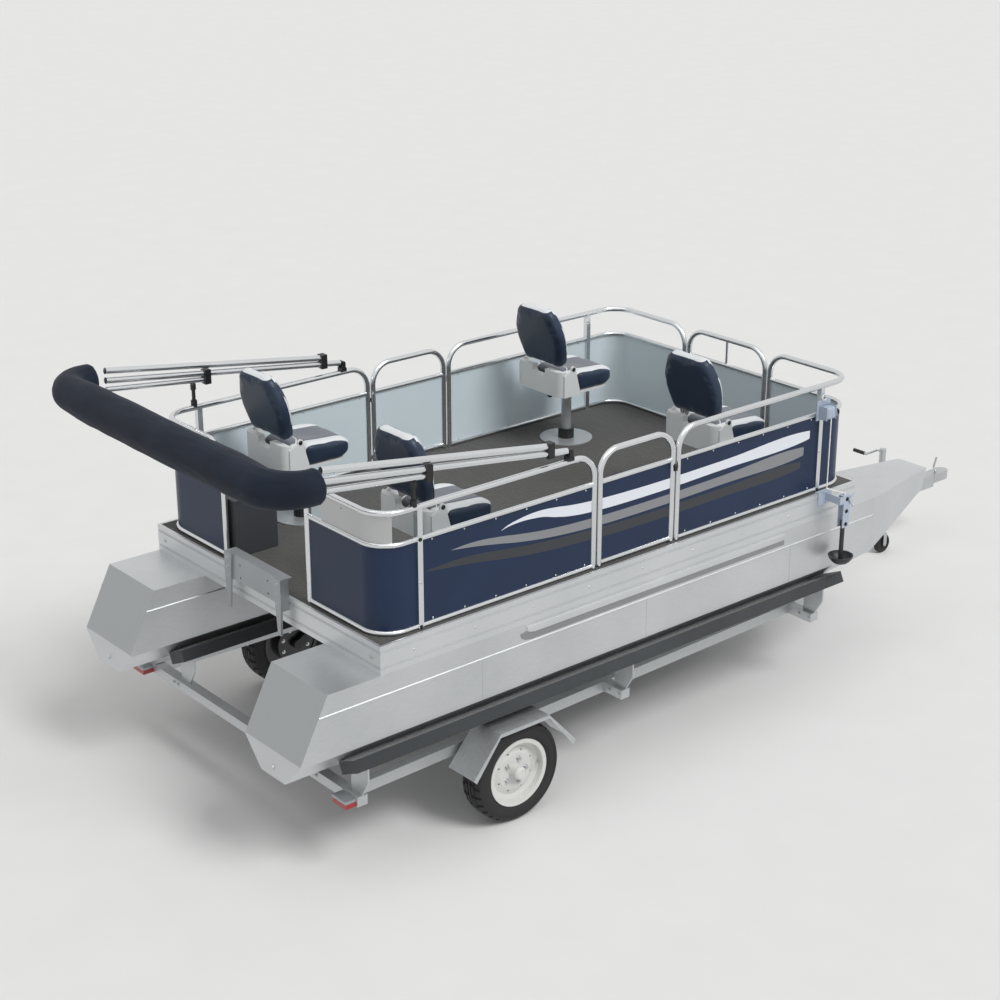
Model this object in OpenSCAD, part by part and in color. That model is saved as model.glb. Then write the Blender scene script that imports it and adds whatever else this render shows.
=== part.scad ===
// Pontoon fishing boat on its single-axle trailer, in millimetres.
// +X points to the bow, +Y to port and +Z up.
// The origin lies on the ground, under the middle of the length.

/* [Deck] */
// Width of the deck and over the two pontoons
beam = 2000; // [1800:10:2300]
// Length of the deck
deck_l = 3390; // [2900:10:4200]
// Height of the deck's edge extrusion
edge_h = 150; // [120:1:180]
// Wall of the deck's edge extrusion
edge_t = 14; // [8:1:25]
// Thickness of the deck boards
floor_t = 25; // [18:1:40]
// Number of beams under the deck
beam_count = 8; // [6:1:12]

/* [Pontoons] */
// Width of one pontoon
pontoon_w = 460; // [400:5:560]
// Depth of one pontoon
pontoon_d = 462; // [380:2:560]
// Height of a pontoon's upright side
side_h = 330; // [260:2:350]
// Width of the flat keel
keel_w = 198; // [120:2:260]
// Reach of the pontoons behind the deck, at their top
stern_reach = 305; // [200:5:450]
// Slope of the stern plate, from its top to its chine
stern_rake = 164; // [60:2:240]
// Reach of the pontoons ahead of the deck
nose_reach = 815; // [600:5:1000]
// Length of the nose's taper
nose_taper_l = 655; // [500:5:700]
// Width of the nose's flat front
nose_w = 212; // [150:2:260]
// Height of the nose's flat front
nose_face_h = 124; // [80:2:180]
// Length of the rising keel, from the flat keel to the nose
keel_rise_l = 990; // [800:10:1200]

/* [Fence] */
// Height of the top rail's centre line above the deck
rail_top_h = 620; // [560:5:720]
// Height of the middle rail's centre line above the deck
rail_mid_h = 460; // [400:5:520]
// Distance from the deck's edge to the fence's centre line
fence_inset = 45; // [40:1:70]
// Diameter of the outer tubes
tube_d = 32; // [26:1:38]
// Diameter of the middle and bottom rails
rail_d = 26; // [18:1:30]
// Bend radius where a top rail turns down into a post
post_r = 120; // [80:5:150]
// Bend radius of the fence at the corners of the deck
corner_r = 140; // [100:5:180]
// Thickness of the fence's sheets
sheet_t = 3; // [2:0.5:6]
// Clear width between the posts of the stern opening
stern_gap = 716; // [600:2:800]
// Distance from the stern to the side gates
gate_x = 1405; // [1300:5:1500]
// Width of a side gate, between the middles of its end gaps
side_gate_w = 555; // [480:5:640]
// Width of the bow gate, between the middles of its end gaps
bow_gate_w = 660; // [560:5:700]
// Gap between a gate and the posts beside it
gate_gap = 8; // [6:1:14]
// Distance from the stern to the aft square post
aft_post_x = 270; // [240:5:320]
// Distance from the bow edge to the fore square post
fore_post_x = 300; // [260:5:340]
// Width of the square posts
post_w = 30; // [24:1:36]

/* [Seats] */
// Distance from the stern to the aft seats
aft_seat_x = 670; // [600:5:760]
// Distance of the aft seats from the centre line
aft_seat_y = 600; // [540:5:600]
// Distance from the bow edge to the fore seats
fore_seat_x = 765; // [680:5:820]
// Distance of the fore seats from the centre line
fore_seat_y = 625; // [560:5:630]
// Height of the underside of a seat's shell above the deck
seat_h = 340; // [280:5:420]
// Width of a seat
seat_w = 420; // [380:5:460]
// Length of a seat's pan
seat_l = 450; // [400:5:480]
// Thickness of a pan cushion
pad_t = 130; // [100:1:140]
// Height of a seat back along its slope
back_h = 400; // [340:5:440]
// Thickness of a seat back
back_t = 78; // [60:1:90]
// Slope of a seat back, in degrees from upright
back_tilt = 14; // [5:1:20]
// Diameter of a seat post
seat_post_d = 60; // [50:1:75]
// Diameter of a seat's base plate
seat_base_d = 318; // [240:2:340]

/* [Bimini] */
// Distance from the stern to the bimini's deck hinges
bimini_x = 1215; // [1150:5:1240]
// Length of the folded frame, from its hinge to the middle of its cover
bimini_l = 1735; // [1500:5:1800]
// Height of the folded cover above the deck
cover_h = 885; // [820:5:960]
// Diameter of the folded cover
cover_d = 200; // [150:5:230]
// Length of the cover's side legs
cover_leg = 250; // [210:5:320]
// Diameter of the bimini's tubes
bow_d = 34; // [28:1:38]

/* [Stern] */
// Width of the motor bracket
bracket_w = 506; // [420:2:560]
// Height of the motor bracket above the deck
bracket_h = 100; // [60:2:140]
// Radius of the motor bolt holes
motor_bolt_r = 5.5; // [4:0.5:7]
// Length of the stern locker, fore and aft
locker_l = 255; // [200:5:300]
// Width of the stern locker
locker_w = 490; // [400:5:520]
// Height of the stern locker
locker_h = 300; // [240:5:360]

/* [Anchor] */
// Distance from the bow edge to the anchor
anchor_x = 205; // [150:5:260]
// Radius of the anchor's bowl
bowl_r = 75; // [60:1:90]

/* [Trailer] */
// Height of the trailer frame's top above the ground
frame_h = 447; // [430:1:520]
// Height of the flat keels above the trailer frame
bunk_rise = 128; // [100:1:180]
// Height of the frame's rails
frame_rail_h = 60; // [50:1:80]
// Width of the frame's rails
frame_rail_w = 50; // [40:1:70]
// Outer diameter of the tyres
tyre_d = 540; // [500:2:560]
// Width of the tyres
tyre_w = 150; // [125:1:170]
// Diameter of the rims over their flanges
rim_d = 366; // [320:2:380]
// Distance from the stern to the wheels
wheel_x = 790; // [700:5:900]
// Distance from the stern to the front of the coupler
coupler_x = 5600; // [5400:10:6000]
// Distance from the front of the coupler back to the jack
jack_back = 700; // [600:5:800]
// Diameter of the jack's wheel
caster_d = 130; // [110:2:160]

/* [Hidden] */
$fn = 64;

// Levels above the ground
keel_h = frame_h + bunk_rise;
deck_h = keel_h + pontoon_d + edge_h;
// The origin's distance ahead of the deck's stern edge
cover_mid_x = bimini_x - bimini_l;
stern_x = -(coupler_x + cover_mid_x - cover_d / 2) / 2;

half = beam / 2;
pontoon_y = half - pontoon_w / 2;
ridge = 5;
ridge_z = -105;
fence_y = half - fence_inset;
fence_fore_x = deck_l - fence_inset;
bottom_rail_h = rail_d / 2;
gate_lift = 8;
hinge_off = tube_d / 2 + 12;
post_back = (gate_gap + tube_d) / 2;
stern_post_y = (stern_gap + tube_d) / 2;
fit = 0.3;
run_fit = 0.08;

// ---- helpers ----
function unit(v) = v / norm(v);
function setback(a, b, c, r) = r * tan(acos(unit(b - a) * unit(c - b)) / 2);

module rod(a, b, d) {
    v = b - a;
    translate(a) rotate([0, acos(v.z / norm(v)), atan2(v.y, v.x)]) cylinder(d = d, h = norm(v));
}

// A torus sector that rounds the corner b of the path a-b-c
module elbow(a, b, c, r, d) {
    u = unit(a - b);
    w = unit(c - b);
    turn = acos(-u * w);
    o = b + unit(u + w) * r / cos(turn / 2);
    x = unit(b + u * setback(a, b, c, r) - o);
    z = cross(x, -u);
    multmatrix([
        [x.x, -u.x, z.x, o.x],
        [x.y, -u.y, z.y, o.y],
        [x.z, -u.z, z.z, o.z],
        [0, 0, 0, 1]
    ]) rotate_extrude(angle = turn) translate([r, 0]) circle(d = d);
}

// A tube along the points p, with the bend radius r[i] at point i
module bent_tube(p, r, d) {
    last = len(p) - 1;
    for (i = [0 : last - 1]) {
        dir = unit(p[i + 1] - p[i]);
        cut_a = i == 0 ? 0 : setback(p[i - 1], p[i], p[i + 1], r[i]);
        cut_b = i == last - 1 ? 0 : setback(p[i], p[i + 1], p[i + 2], r[i + 1]);
        rod(p[i] + dir * cut_a, p[i + 1] - dir * cut_b, d);
    }
    if (last > 1) for (i = [1 : last - 1]) elbow(p[i - 1], p[i], p[i + 1], r[i], d);
}

// A flat bar with round eyes at two points of the XZ plane, from y = 0 to t
module link(a, b, w, t) {
    v = b - a;
    rotate([90, 0, 0]) translate([0, 0, -t]) linear_extrude(t) {
        translate(a) circle(d = w);
        translate(b) circle(d = w);
        translate(a) rotate(atan2(v.y, v.x)) translate([0, -w * 0.4]) square([norm(v), w * 0.8]);
    }
}

module block(lo, hi) {
    translate(lo) cube(hi - lo);
}

// A box centred in y
module slab(x0, x1, w, z0, z1) {
    block([x0, -w / 2, z0], [x1, w / 2, z1]);
}

module both_sides() {
    children();
    mirror([0, 1, 0]) children();
}

module on_deck() {
    translate([stern_x, 0, deck_h]) children();
}

module on_ground() {
    translate([stern_x, 0, 0]) children();
}

// ---- hull and deck ----
module pontoon() {
    top_fore = deck_l + nose_reach;
    keel_fore = top_fore - 40 - keel_rise_l;
    chine_aft = -stern_reach - stern_rake;
    intersection() {
        translate([chine_aft - 20, 0, 0]) rotate([90, 0, 90])
            linear_extrude(top_fore - chine_aft + 40) polygon([
                [-pontoon_w / 2, 0],
                [-pontoon_w / 2, ridge_z + ridge], [-pontoon_w / 2 - ridge, ridge_z],
                [-pontoon_w / 2, ridge_z - ridge],
                [-pontoon_w / 2, -side_h], [-keel_w / 2, -pontoon_d],
                [keel_w / 2, -pontoon_d], [pontoon_w / 2, -side_h],
                [pontoon_w / 2, ridge_z - ridge], [pontoon_w / 2 + ridge, ridge_z],
                [pontoon_w / 2, ridge_z + ridge],
                [pontoon_w / 2, 0]
            ]);
        translate([0, pontoon_w, 0]) rotate([90, 0, 0]) linear_extrude(2 * pontoon_w) polygon([
            [-stern_reach, 0], [chine_aft, -side_h + 10], [chine_aft - 4, -pontoon_d],
            [keel_fore, -pontoon_d], [top_fore - 40, -nose_face_h], [top_fore, 0]
        ]);
        translate([0, 0, -pontoon_d]) linear_extrude(pontoon_d) polygon([
            [chine_aft - 10, -pontoon_w / 2 - ridge], [top_fore - nose_taper_l, -pontoon_w / 2 - ridge],
            [top_fore, -nose_w / 2], [top_fore, nose_w / 2],
            [top_fore - nose_taper_l, pontoon_w / 2 + ridge], [chine_aft - 10, pontoon_w / 2 + ridge]
        ]);
    }
}

module pontoons() {
    color("gainsboro") on_deck() both_sides() translate([0, pontoon_y, -edge_h]) pontoon();
}

module deck_beams() {
    beam_w = 60;
    pitch = (deck_l - 2 * edge_t - beam_w) / (beam_count - 1);
    color("silver") on_deck() for (i = [0 : beam_count - 1])
        slab(edge_t + i * pitch, edge_t + i * pitch + beam_w, beam - 2 * edge_t, -edge_h, -floor_t);
}

module deck_floor() {
    color("dimgray") on_deck() slab(edge_t, deck_l - edge_t, beam - 2 * edge_t, -floor_t, 0);
}

module deck_ring(grow, z0, z1) {
    difference() {
        slab(-grow, deck_l + grow, beam + 2 * grow, z0, z1);
        slab(edge_t, deck_l - edge_t, beam - 2 * edge_t, z0 - 1, z1 + 1);
    }
}

module deck_edge() {
    groove = 3;
    color("lightgray") on_deck() {
        deck_ring(-groove, -edge_h, 0);
        for (band = [[0, 26], [30, 34], [38, 108], [112, 116], [120, edge_h]])
            deck_ring(0, -band[1], -band[0]);
    }
}

module motor_bracket() {
    plate_x = -38;
    plate_t = 8;
    leg_w = 66;
    leg_foot_w = 24;
    leg_drop = 205;
    hole_dy = 250;
    hole_dz = 70;
    hole_z = 20;
    color("darkgray") on_deck() difference() {
        union() {
            slab(plate_x, plate_x + plate_t, bracket_w, -40, bracket_h);
            slab(plate_x, 22, bracket_w, bracket_h - plate_t, bracket_h);
            slab(plate_x + plate_t, 0, bracket_w - 60, -24, -4);
            both_sides() {
                translate([plate_x, 0, 0]) rotate([90, 0, -90]) linear_extrude(12) polygon([
                    [bracket_w / 2 - leg_w, bracket_h], [bracket_w / 2, bracket_h],
                    [bracket_w / 2, 0], [bracket_w / 2 - 12, -leg_drop],
                    [bracket_w / 2 - 12 - leg_foot_w, -leg_drop]
                ]);
                block([plate_x, bracket_w / 2 - plate_t, -70], [0, bracket_w / 2, bracket_h]);
            }
        }
        for (y = [-hole_dy / 2, hole_dy / 2], z = [hole_z - hole_dz / 2, hole_z + hole_dz / 2])
            translate([plate_x - 20, y, z]) rotate([0, 90, 0]) cylinder(r = motor_bolt_r, h = 60);
    }
}

// ---- stern locker ----
locker_x = 75;
locker_y = 330;
locker_wall = 8;
lid_t = 12;

module stern_locker() {
    color("darkslategray") on_deck() difference() {
        block([locker_x, locker_y, 0], [locker_x + locker_l, locker_y + locker_w, locker_h]);
        block([locker_x + locker_wall, locker_y + locker_wall, locker_wall],
            [locker_x + locker_l - locker_wall, locker_y + locker_w - locker_wall, locker_h + 1]);
    }
}

module locker_lid() {
    color("slategray") on_deck() block([locker_x - 4, locker_y - 4, locker_h + fit],
        [locker_x + locker_l + 4, locker_y + locker_w, locker_h + fit + lid_t]);
}

// ---- fence ----
module aft_frame() {
    end_x = gate_x - post_back;
    rail = [[fence_inset, stern_post_y, 0], [fence_inset, fence_y, 0], [end_x, fence_y, 0]];
    bent_tube([
        [fence_inset, stern_post_y, 0], [fence_inset, stern_post_y, rail_top_h],
        [fence_inset, fence_y, rail_top_h],
        [end_x, fence_y, rail_top_h], [end_x, fence_y, 0]
    ], [0, post_r, corner_r, post_r, 0], tube_d);
    for (h = [bottom_rail_h, rail_mid_h])
        bent_tube([for (p = rail) p + [0, 0, h]], [0, corner_r, 0], rail_d);
    block([aft_post_x - post_w / 2, fence_y - post_w / 2, 0],
        [aft_post_x + post_w / 2, fence_y + post_w / 2, rail_top_h]);
}

module bow_frame() {
    start_x = gate_x + side_gate_w + post_back;
    end_y = bow_gate_w / 2 + post_back;
    post_x = deck_l - fore_post_x;
    rail = [[start_x, fence_y, 0], [fence_fore_x, fence_y, 0], [fence_fore_x, end_y, 0]];
    bent_tube([
        [start_x, fence_y, 0], [start_x, fence_y, rail_top_h], [fence_fore_x, fence_y, rail_top_h],
        [fence_fore_x, end_y, rail_top_h], [fence_fore_x, end_y, 0]
    ], [0, post_r, corner_r, post_r, 0], tube_d);
    for (h = [bottom_rail_h, rail_mid_h])
        bent_tube([for (p = rail) p + [0, 0, h]], [0, corner_r, 0], rail_d);
    block([post_x - post_w / 2, fence_y - post_w / 2, 0],
        [post_x + post_w / 2, fence_y + post_w / 2, rail_top_h]);
}

hinge_r = 7;
hinge_l = 24;
hinge_heights = [60, rail_mid_h - 50];

// One half of a butt hinge: a barrel on the hinge line and the arm that holds it
// off is the vector from the post's centre line to the hinge line
module hinge_half(post, off, z0) {
    axis = post + off;
    translate([axis.x, axis.y, z0]) cylinder(r = hinge_r, h = hinge_l);
    len = norm(off) - tube_d / 2 + 4;
    translate([axis.x, axis.y, z0]) rotate([0, 0, atan2(-off.y, -off.x)]) translate([0, -4, 0])
        cube([len, 8, hinge_l]);
}

module fence_aft() {
    color("silver") on_deck() {
        both_sides() aft_frame();
        both_sides() for (h = hinge_heights)
            hinge_half([gate_x - post_back, fence_y], [post_back, -hinge_off], h);
    }
}

module fence_bow() {
    color("silver") on_deck() {
        both_sides() bow_frame();
        for (h = hinge_heights)
            hinge_half([fence_fore_x, bow_gate_w / 2 + post_back], [-hinge_off, -post_back], h);
    }
}

skin_z0 = 2 * bottom_rail_h;
skin_z1 = rail_mid_h - rail_d / 2;

// A quarter ring of sheet about a corner's centre, on its +X +Y side
module corner_sheet(r) {
    intersection() {
        difference() {
            circle(r = r + sheet_t / 2);
            circle(r = r - sheet_t / 2);
        }
        square(2 * r);
    }
}

module aft_skin_plan() {
    c = fence_inset + corner_r;
    translate([fence_inset - sheet_t / 2, stern_post_y + tube_d / 2])
        square([sheet_t, fence_y - corner_r - stern_post_y - tube_d / 2]);
    translate([c, fence_y - corner_r]) mirror([1, 0]) corner_sheet(corner_r);
    translate([c, fence_y - sheet_t / 2]) square([aft_post_x - post_w / 2 - c, sheet_t]);
    translate([aft_post_x + post_w / 2, fence_y - sheet_t / 2])
        square([gate_x - post_back - tube_d / 2 - aft_post_x - post_w / 2, sheet_t]);
}

module bow_skin_plan() {
    c = fence_fore_x - corner_r;
    start_x = gate_x + side_gate_w + post_back + tube_d / 2;
    end_y = bow_gate_w / 2 + post_back + tube_d / 2;
    post_x = deck_l - fore_post_x;
    translate([start_x, fence_y - sheet_t / 2]) square([post_x - post_w / 2 - start_x, sheet_t]);
    translate([post_x + post_w / 2, fence_y - sheet_t / 2]) square([c - post_x - post_w / 2, sheet_t]);
    translate([c, fence_y - corner_r]) corner_sheet(corner_r);
    translate([fence_fore_x - sheet_t / 2, end_y]) square([sheet_t, fence_y - corner_r - end_y]);
}

module skins_aft() {
    color("midnightblue") on_deck() both_sides()
        translate([0, 0, skin_z0]) linear_extrude(skin_z1 - skin_z0) aft_skin_plan();
}

module skins_bow() {
    color("midnightblue") on_deck() both_sides()
        translate([0, 0, skin_z0]) linear_extrude(skin_z1 - skin_z0) bow_skin_plan();
}

// Plain plate between the middle and top rails at the starboard stern corner
module infill_plate() {
    z0 = rail_mid_h + rail_d / 2;
    z1 = rail_top_h - tube_d / 2;
    y0 = stern_post_y + post_r;
    color("gainsboro") on_deck() mirror([0, 1, 0]) difference() {
        translate([0, 0, z0]) linear_extrude(z1 - z0) {
            translate([fence_inset - sheet_t / 2, y0]) square([sheet_t, fence_y - corner_r - y0]);
            intersection() {
                translate([fence_inset + corner_r, fence_y - corner_r]) mirror([1, 0])
                    corner_sheet(corner_r);
                translate([fence_inset - sheet_t, fence_y - corner_r]) square([corner_r * 0.6, corner_r]);
            }
        }
        for (y = [y0 + 30, y0 + 165])
            translate([0, y, z1 - 22]) rotate([0, 90, 0]) cylinder(d = 10, h = 200);
    }
}

// ---- gates: built along +X from the hinge line, with the deck's inside on +Y ----
module gate_frame(w, middle_bar) {
    a = post_back;
    b = w - post_back;
    low = gate_lift + rail_d / 2;
    translate([0, -hinge_off, 0]) {
        bent_tube([
            [a, 0, gate_lift], [a, 0, rail_top_h], [b, 0, rail_top_h], [b, 0, gate_lift]
        ], [0, post_r, post_r, 0], tube_d);
        for (h = [low, rail_mid_h]) rod([a, 0, h], [b, 0, h], rail_d);
        if (middle_bar) rod([w / 2, 0, rail_mid_h], [w / 2, 0, rail_top_h], 16);
        for (h = hinge_heights) hinge_half([a, 0], [-post_back, hinge_off], h + hinge_l + 1);
    }
}

module gate_sheet(w) {
    a = post_back + tube_d / 2;
    translate([a, -hinge_off - sheet_t / 2, gate_lift + rail_d])
        cube([w - 2 * a, sheet_t, rail_mid_h - rail_d * 1.5 - gate_lift]);
}

module at_port_gate() {
    on_deck() translate([gate_x, fence_y - hinge_off, 0]) mirror([0, 1, 0]) children();
}

module at_starboard_gate() {
    on_deck() translate([gate_x, -fence_y + hinge_off, 0]) children();
}

module at_bow_gate() {
    on_deck() translate([fence_fore_x - hinge_off, bow_gate_w / 2, 0]) rotate([0, 0, -90])
        mirror([0, 1, 0]) children();
}

module gate_port() {
    color("silver") at_port_gate() gate_frame(side_gate_w, false);
}

module gate_port_skin() {
    color("midnightblue") at_port_gate() gate_sheet(side_gate_w);
}

module gate_starboard() {
    color("silver") at_starboard_gate() gate_frame(side_gate_w, false);
}

module gate_starboard_skin() {
    color("midnightblue") at_starboard_gate() gate_sheet(side_gate_w);
}

module gate_bow() {
    color("silver") at_bow_gate() gate_frame(bow_gate_w, true);
}

module gate_bow_skin() {
    color("midnightblue") at_bow_gate() gate_sheet(bow_gate_w);
}

// ---- bimini: folded aft in its cover, on two hinges and two short rests ----
rail_crest = rail_top_h + tube_d / 2;
bimini_z = rail_crest + 40;
cover_y = fence_y + 45;
leg_end_x = cover_mid_x + cover_leg;
upper_lead = 130;
rest_x = 245;
rest_lead = 90;
third_d = 30;

function main_z(x) = bimini_z + (bimini_x - x) * (cover_h - 8 - bimini_z) / (bimini_x - leg_end_x);

module main_bow(grow = 0) {
    rod([bimini_x - 18, fence_y, main_z(bimini_x - 18)],
        [leg_end_x + 2.5, fence_y, main_z(leg_end_x)], bow_d + grow);
}

module upper_bow(grow = 0) {
    x0 = bimini_x - upper_lead;
    rod([x0, fence_y, main_z(x0) + bow_d + 2],
        [leg_end_x + 2.5, fence_y, main_z(leg_end_x) + bow_d + 18], bow_d + grow);
}

module lower_bow(grow = 0) {
    x0 = rest_x + rest_lead;
    rod([x0, fence_y, main_z(x0) - bow_d],
        [leg_end_x + 2.5, fence_y, main_z(leg_end_x) - bow_d - 14], third_d + grow);
}

function lower_z(x) =
    let (x0 = rest_x + rest_lead, za = main_z(x0) - bow_d, zb = main_z(leg_end_x) - bow_d - 14)
    za + (x0 - x) * (zb - za) / (x0 - leg_end_x);

module bimini_mounts() {
    saddle = lower_z(rest_x) - third_d / 2 - 4;
    foot = rail_crest - 8;
    color("dimgray") on_deck() both_sides() difference() {
        union() {
            // deck hinge: a saddle on the top rail and two ears
            translate([bimini_x, fence_y, 0]) {
                slab(-16, 16, 44, foot, rail_crest + 14);
                for (s = [-1, 1]) translate([0, s * 16 - 3, 0]) {
                    block([-12, 0, rail_crest + 10], [12, 6, bimini_z]);
                    translate([0, 6, bimini_z]) rotate([90, 0, 0]) cylinder(r = 12, h = 6);
                }
            }
            // rest: a short post with two collars
            translate([rest_x, fence_y, foot]) {
                cylinder(d = 20, h = saddle - foot);
                cylinder(d = 34, h = 34);
            }
            translate([rest_x, fence_y, saddle - 30]) cylinder(d = 30, h = 30);
        }
        rod([0, fence_y, rail_top_h], [gate_x, fence_y, rail_top_h], tube_d + 2 * fit);
    }
}

module bimini_bows() {
    color("silver") on_deck() both_sides() {
        main_bow();
        upper_bow();
        lower_bow();
    }
}

module bimini_fittings() {
    x1 = bimini_x - upper_lead;
    x2 = rest_x + rest_lead;
    clamp_r = bow_d / 2 + 5;
    color("black") on_deck() both_sides() difference() {
        union() {
            // eye on the deck hinge
            translate([bimini_x, fence_y + 12, bimini_z]) rotate([90, 0, 0]) cylinder(r = 12, h = 24);
            translate([bimini_x - 18, fence_y - 12, main_z(bimini_x) - 13]) cube([14, 24, 26]);
            // clamp that holds the upper bow on the main bow
            block([x1 - 20, fence_y - clamp_r, main_z(x1) - clamp_r],
                [x1 + 16, fence_y + clamp_r, main_z(x1) + bow_d + 2 + clamp_r]);
            // clamp that holds the lower bow under the main bow
            block([x2 - 24, fence_y - clamp_r, main_z(x2) - bow_d - clamp_r],
                [x2 + 12, fence_y + clamp_r, main_z(x2) + clamp_r]);
        }
        main_bow(2 * fit);
        upper_bow(2 * fit);
        lower_bow(2 * fit);
    }
}

module bimini_cover() {
    color("midnightblue") on_deck() bent_tube([
        [leg_end_x, -cover_y, cover_h], [cover_mid_x, -cover_y, cover_h],
        [cover_mid_x, cover_y, cover_h], [leg_end_x, cover_y, cover_h]
    ], [0, 170, 170, 0], cover_d);
}

// ---- seats: built about their post, facing +X, with z from the deck ----
seat_places = [
    [aft_seat_x, aft_seat_y], [aft_seat_x, -aft_seat_y],
    [deck_l - fore_seat_x, fore_seat_y], [deck_l - fore_seat_x, -fore_seat_y]
];
base_t = 6;
collar_h = 58;
shell_t = 12;
swivel_t = 10;
pad_h = seat_h + shell_t;
pad_top = pad_h + pad_t;
pivot = [-130, pad_top + 22];
ear_gap = 150;
ear_y = 192;
ear_t = 12;
shell_back_x = -seat_l / 2;
wall_t = 40;
wall_rise = 12;
notch_w = 110;
notch_r = 18;

module at_seat(i) {
    on_deck() translate([seat_places[i - 1].x, seat_places[i - 1].y, 0]) children();
}

module seat_posts() {
    for (i = [1 : 4]) color("silver") at_seat(i) {
        cylinder(d = seat_base_d, h = base_t);
        cylinder(d = seat_post_d, h = seat_h - swivel_t - 0.5);
    }
}

module seat_collars() {
    for (i = [1 : 4]) color("black") at_seat(i) translate([0, 0, base_t]) difference() {
        cylinder(d = 96, h = collar_h);
        translate([0, 0, -1]) cylinder(d = seat_post_d, h = collar_h + 2);
    }
}

module seat_plan(w, l, r) {
    translate([0, r - w / 2]) square([l, w - 2 * r]);
    translate([r, -w / 2]) square([l - 2 * r, w]);
    for (x = [r, l - r], y = [r - w / 2, w / 2 - r]) translate([x, y]) circle(r = r);
}

module seat_shell() {
    notch_z = pad_top - 14;
    ear_fore = pivot.x + 50;
    wall_h = shell_t + pad_t + wall_rise;
    slot_x = shell_back_x - 1;
    slot_end = shell_back_x + wall_t + 1;
    color("white") {
        slab(-90, 90, 180, seat_h - swivel_t, seat_h);
        translate([shell_back_x + 10, 0, seat_h]) linear_extrude(shell_t)
            seat_plan(seat_w - 50, seat_l - 60, 50);
        // rear wall with a hand notch
        difference() {
            translate([shell_back_x, 0, seat_h]) linear_extrude(wall_h) intersection() {
                seat_plan(seat_w - 10, seat_l - 25, 60);
                translate([0, -seat_w / 2]) square([wall_t, seat_w]);
            }
            slab(slot_x, slot_end, notch_w, notch_z, seat_h + wall_h + 1);
            slab(slot_x, slot_end, notch_w - 2 * notch_r, notch_z - notch_r, notch_z + 1);
            for (y = [notch_r - notch_w / 2, notch_w / 2 - notch_r])
                translate([slot_x, y, notch_z]) rotate([0, 90, 0])
                    cylinder(r = notch_r, h = wall_t + 2);
        }
        // side walls that carry the back's pivot
        for (s = [-1, 1]) translate([0, s > 0 ? ear_y + ear_t : -ear_y, 0]) rotate([90, 0, 0])
            linear_extrude(ear_t) {
                polygon([
                    [shell_back_x + 25, seat_h], [ear_fore, seat_h], [ear_fore, seat_h + 34],
                    [pivot.x + 17, pivot.y - 6], [pivot.x - 17, pivot.y - 6],
                    [shell_back_x + 25, pad_top - 8]
                ]);
                translate(pivot) circle(r = 18);
            }
    }
}

module seat_pad() {
    pivot_notch_l = 112;
    color("lightsteelblue") difference() {
        translate([shell_back_x + 45, 0, pad_h]) linear_extrude(pad_t) seat_plan(seat_w, seat_l - 35, 55);
        for (s = [-1, 1]) translate([pivot.x - 60, s > 0 ? ear_gap : -seat_w, pad_h - 1])
            cube([pivot_notch_l, seat_w, pad_t + 2]);
    }
}

// Outline of a seat back, across and up its slope from the pivot
module back_outline() {
    low = ear_gap + 22;
    mid = seat_w / 2;
    top = 120;
    rise = 12;
    r = 22;
    polygon([
        [-low, rise], [low, rise], [low + 10, 40], [mid, 150], [mid, 235],
        [top + r, back_h - r], [top, back_h], [-top, back_h], [-top - r, back_h - r],
        [-mid, 235], [-mid, 150], [-low - 10, 40]
    ]);
}

module seat_back() {
    face = 10;
    color("midnightblue") translate([pivot.x, 0, pivot.y]) {
        rotate([0, -back_tilt, 0]) translate([face - back_t, 0, 0]) rotate([90, 0, 90])
            linear_extrude(back_t) back_outline();
        for (s = [-1, 1]) {
            translate([0, s * (ear_y - 0.5), 0]) rotate([90 * s, 0, 0])
                cylinder(r = 12, h = ear_y - ear_gap + 25);
            translate([-12, s > 0 ? ear_gap - 25 : -ear_gap + 3, 0]) cube([24, 22, 24]);
        }
    }
}

module seat_1_shell() {
    at_seat(1) seat_shell();
}

module seat_1_pad() {
    at_seat(1) seat_pad();
}

module seat_1_back() {
    at_seat(1) seat_back();
}

module seat_2_shell() {
    at_seat(2) seat_shell();
}

module seat_2_pad() {
    at_seat(2) seat_pad();
}

module seat_2_back() {
    at_seat(2) seat_back();
}

module seat_3_shell() {
    at_seat(3) seat_shell();
}

module seat_3_pad() {
    at_seat(3) seat_pad();
}

module seat_3_back() {
    at_seat(3) seat_back();
}

module seat_4_shell() {
    at_seat(4) seat_shell();
}

module seat_4_pad() {
    at_seat(4) seat_pad();
}

module seat_4_back() {
    at_seat(4) seat_back();
}

// ---- anchor gear on the starboard bow ----
gear_x = deck_l - anchor_x;
anchor_y = -half - bowl_r - 18;
davit_z = -28;
bowl_z = -372;
winch_z = 470;
rope_d = 7;
rope_y = -half - 6;
rope_x = deck_l - fore_post_x + 14;

module anchor_davit() {
    color("lightsteelblue") on_deck() {
        // plate on the deck's edge, and the arm that reaches outboard from it
        block([gear_x - 120, -half - 6, -70], [gear_x - 10, -half, 4]);
        block([gear_x - 120, -half - 6, 0], [gear_x - 10, -half + 24, 4]);
        block([gear_x - 60, anchor_y - 20, davit_z - 22], [gear_x - 54, -half - 6, davit_z + 22]);
        block([gear_x - 60, anchor_y - 20, davit_z - 22], [gear_x + 20, anchor_y - 14, davit_z + 22]);
        // two link plates that hang from the arm
        for (y = [anchor_y - 20, anchor_y + 14])
            block([gear_x - 26, y, davit_z - 170], [gear_x + 26, y + 6, davit_z + 22]);
        block([gear_x - 26, anchor_y - 20, davit_z + 16], [gear_x + 26, anchor_y + 20, davit_z + 22]);
        translate([gear_x, anchor_y + 20, davit_z - 150]) rotate([90, 0, 0]) cylinder(r = 6, h = 40);
    }
}

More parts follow.
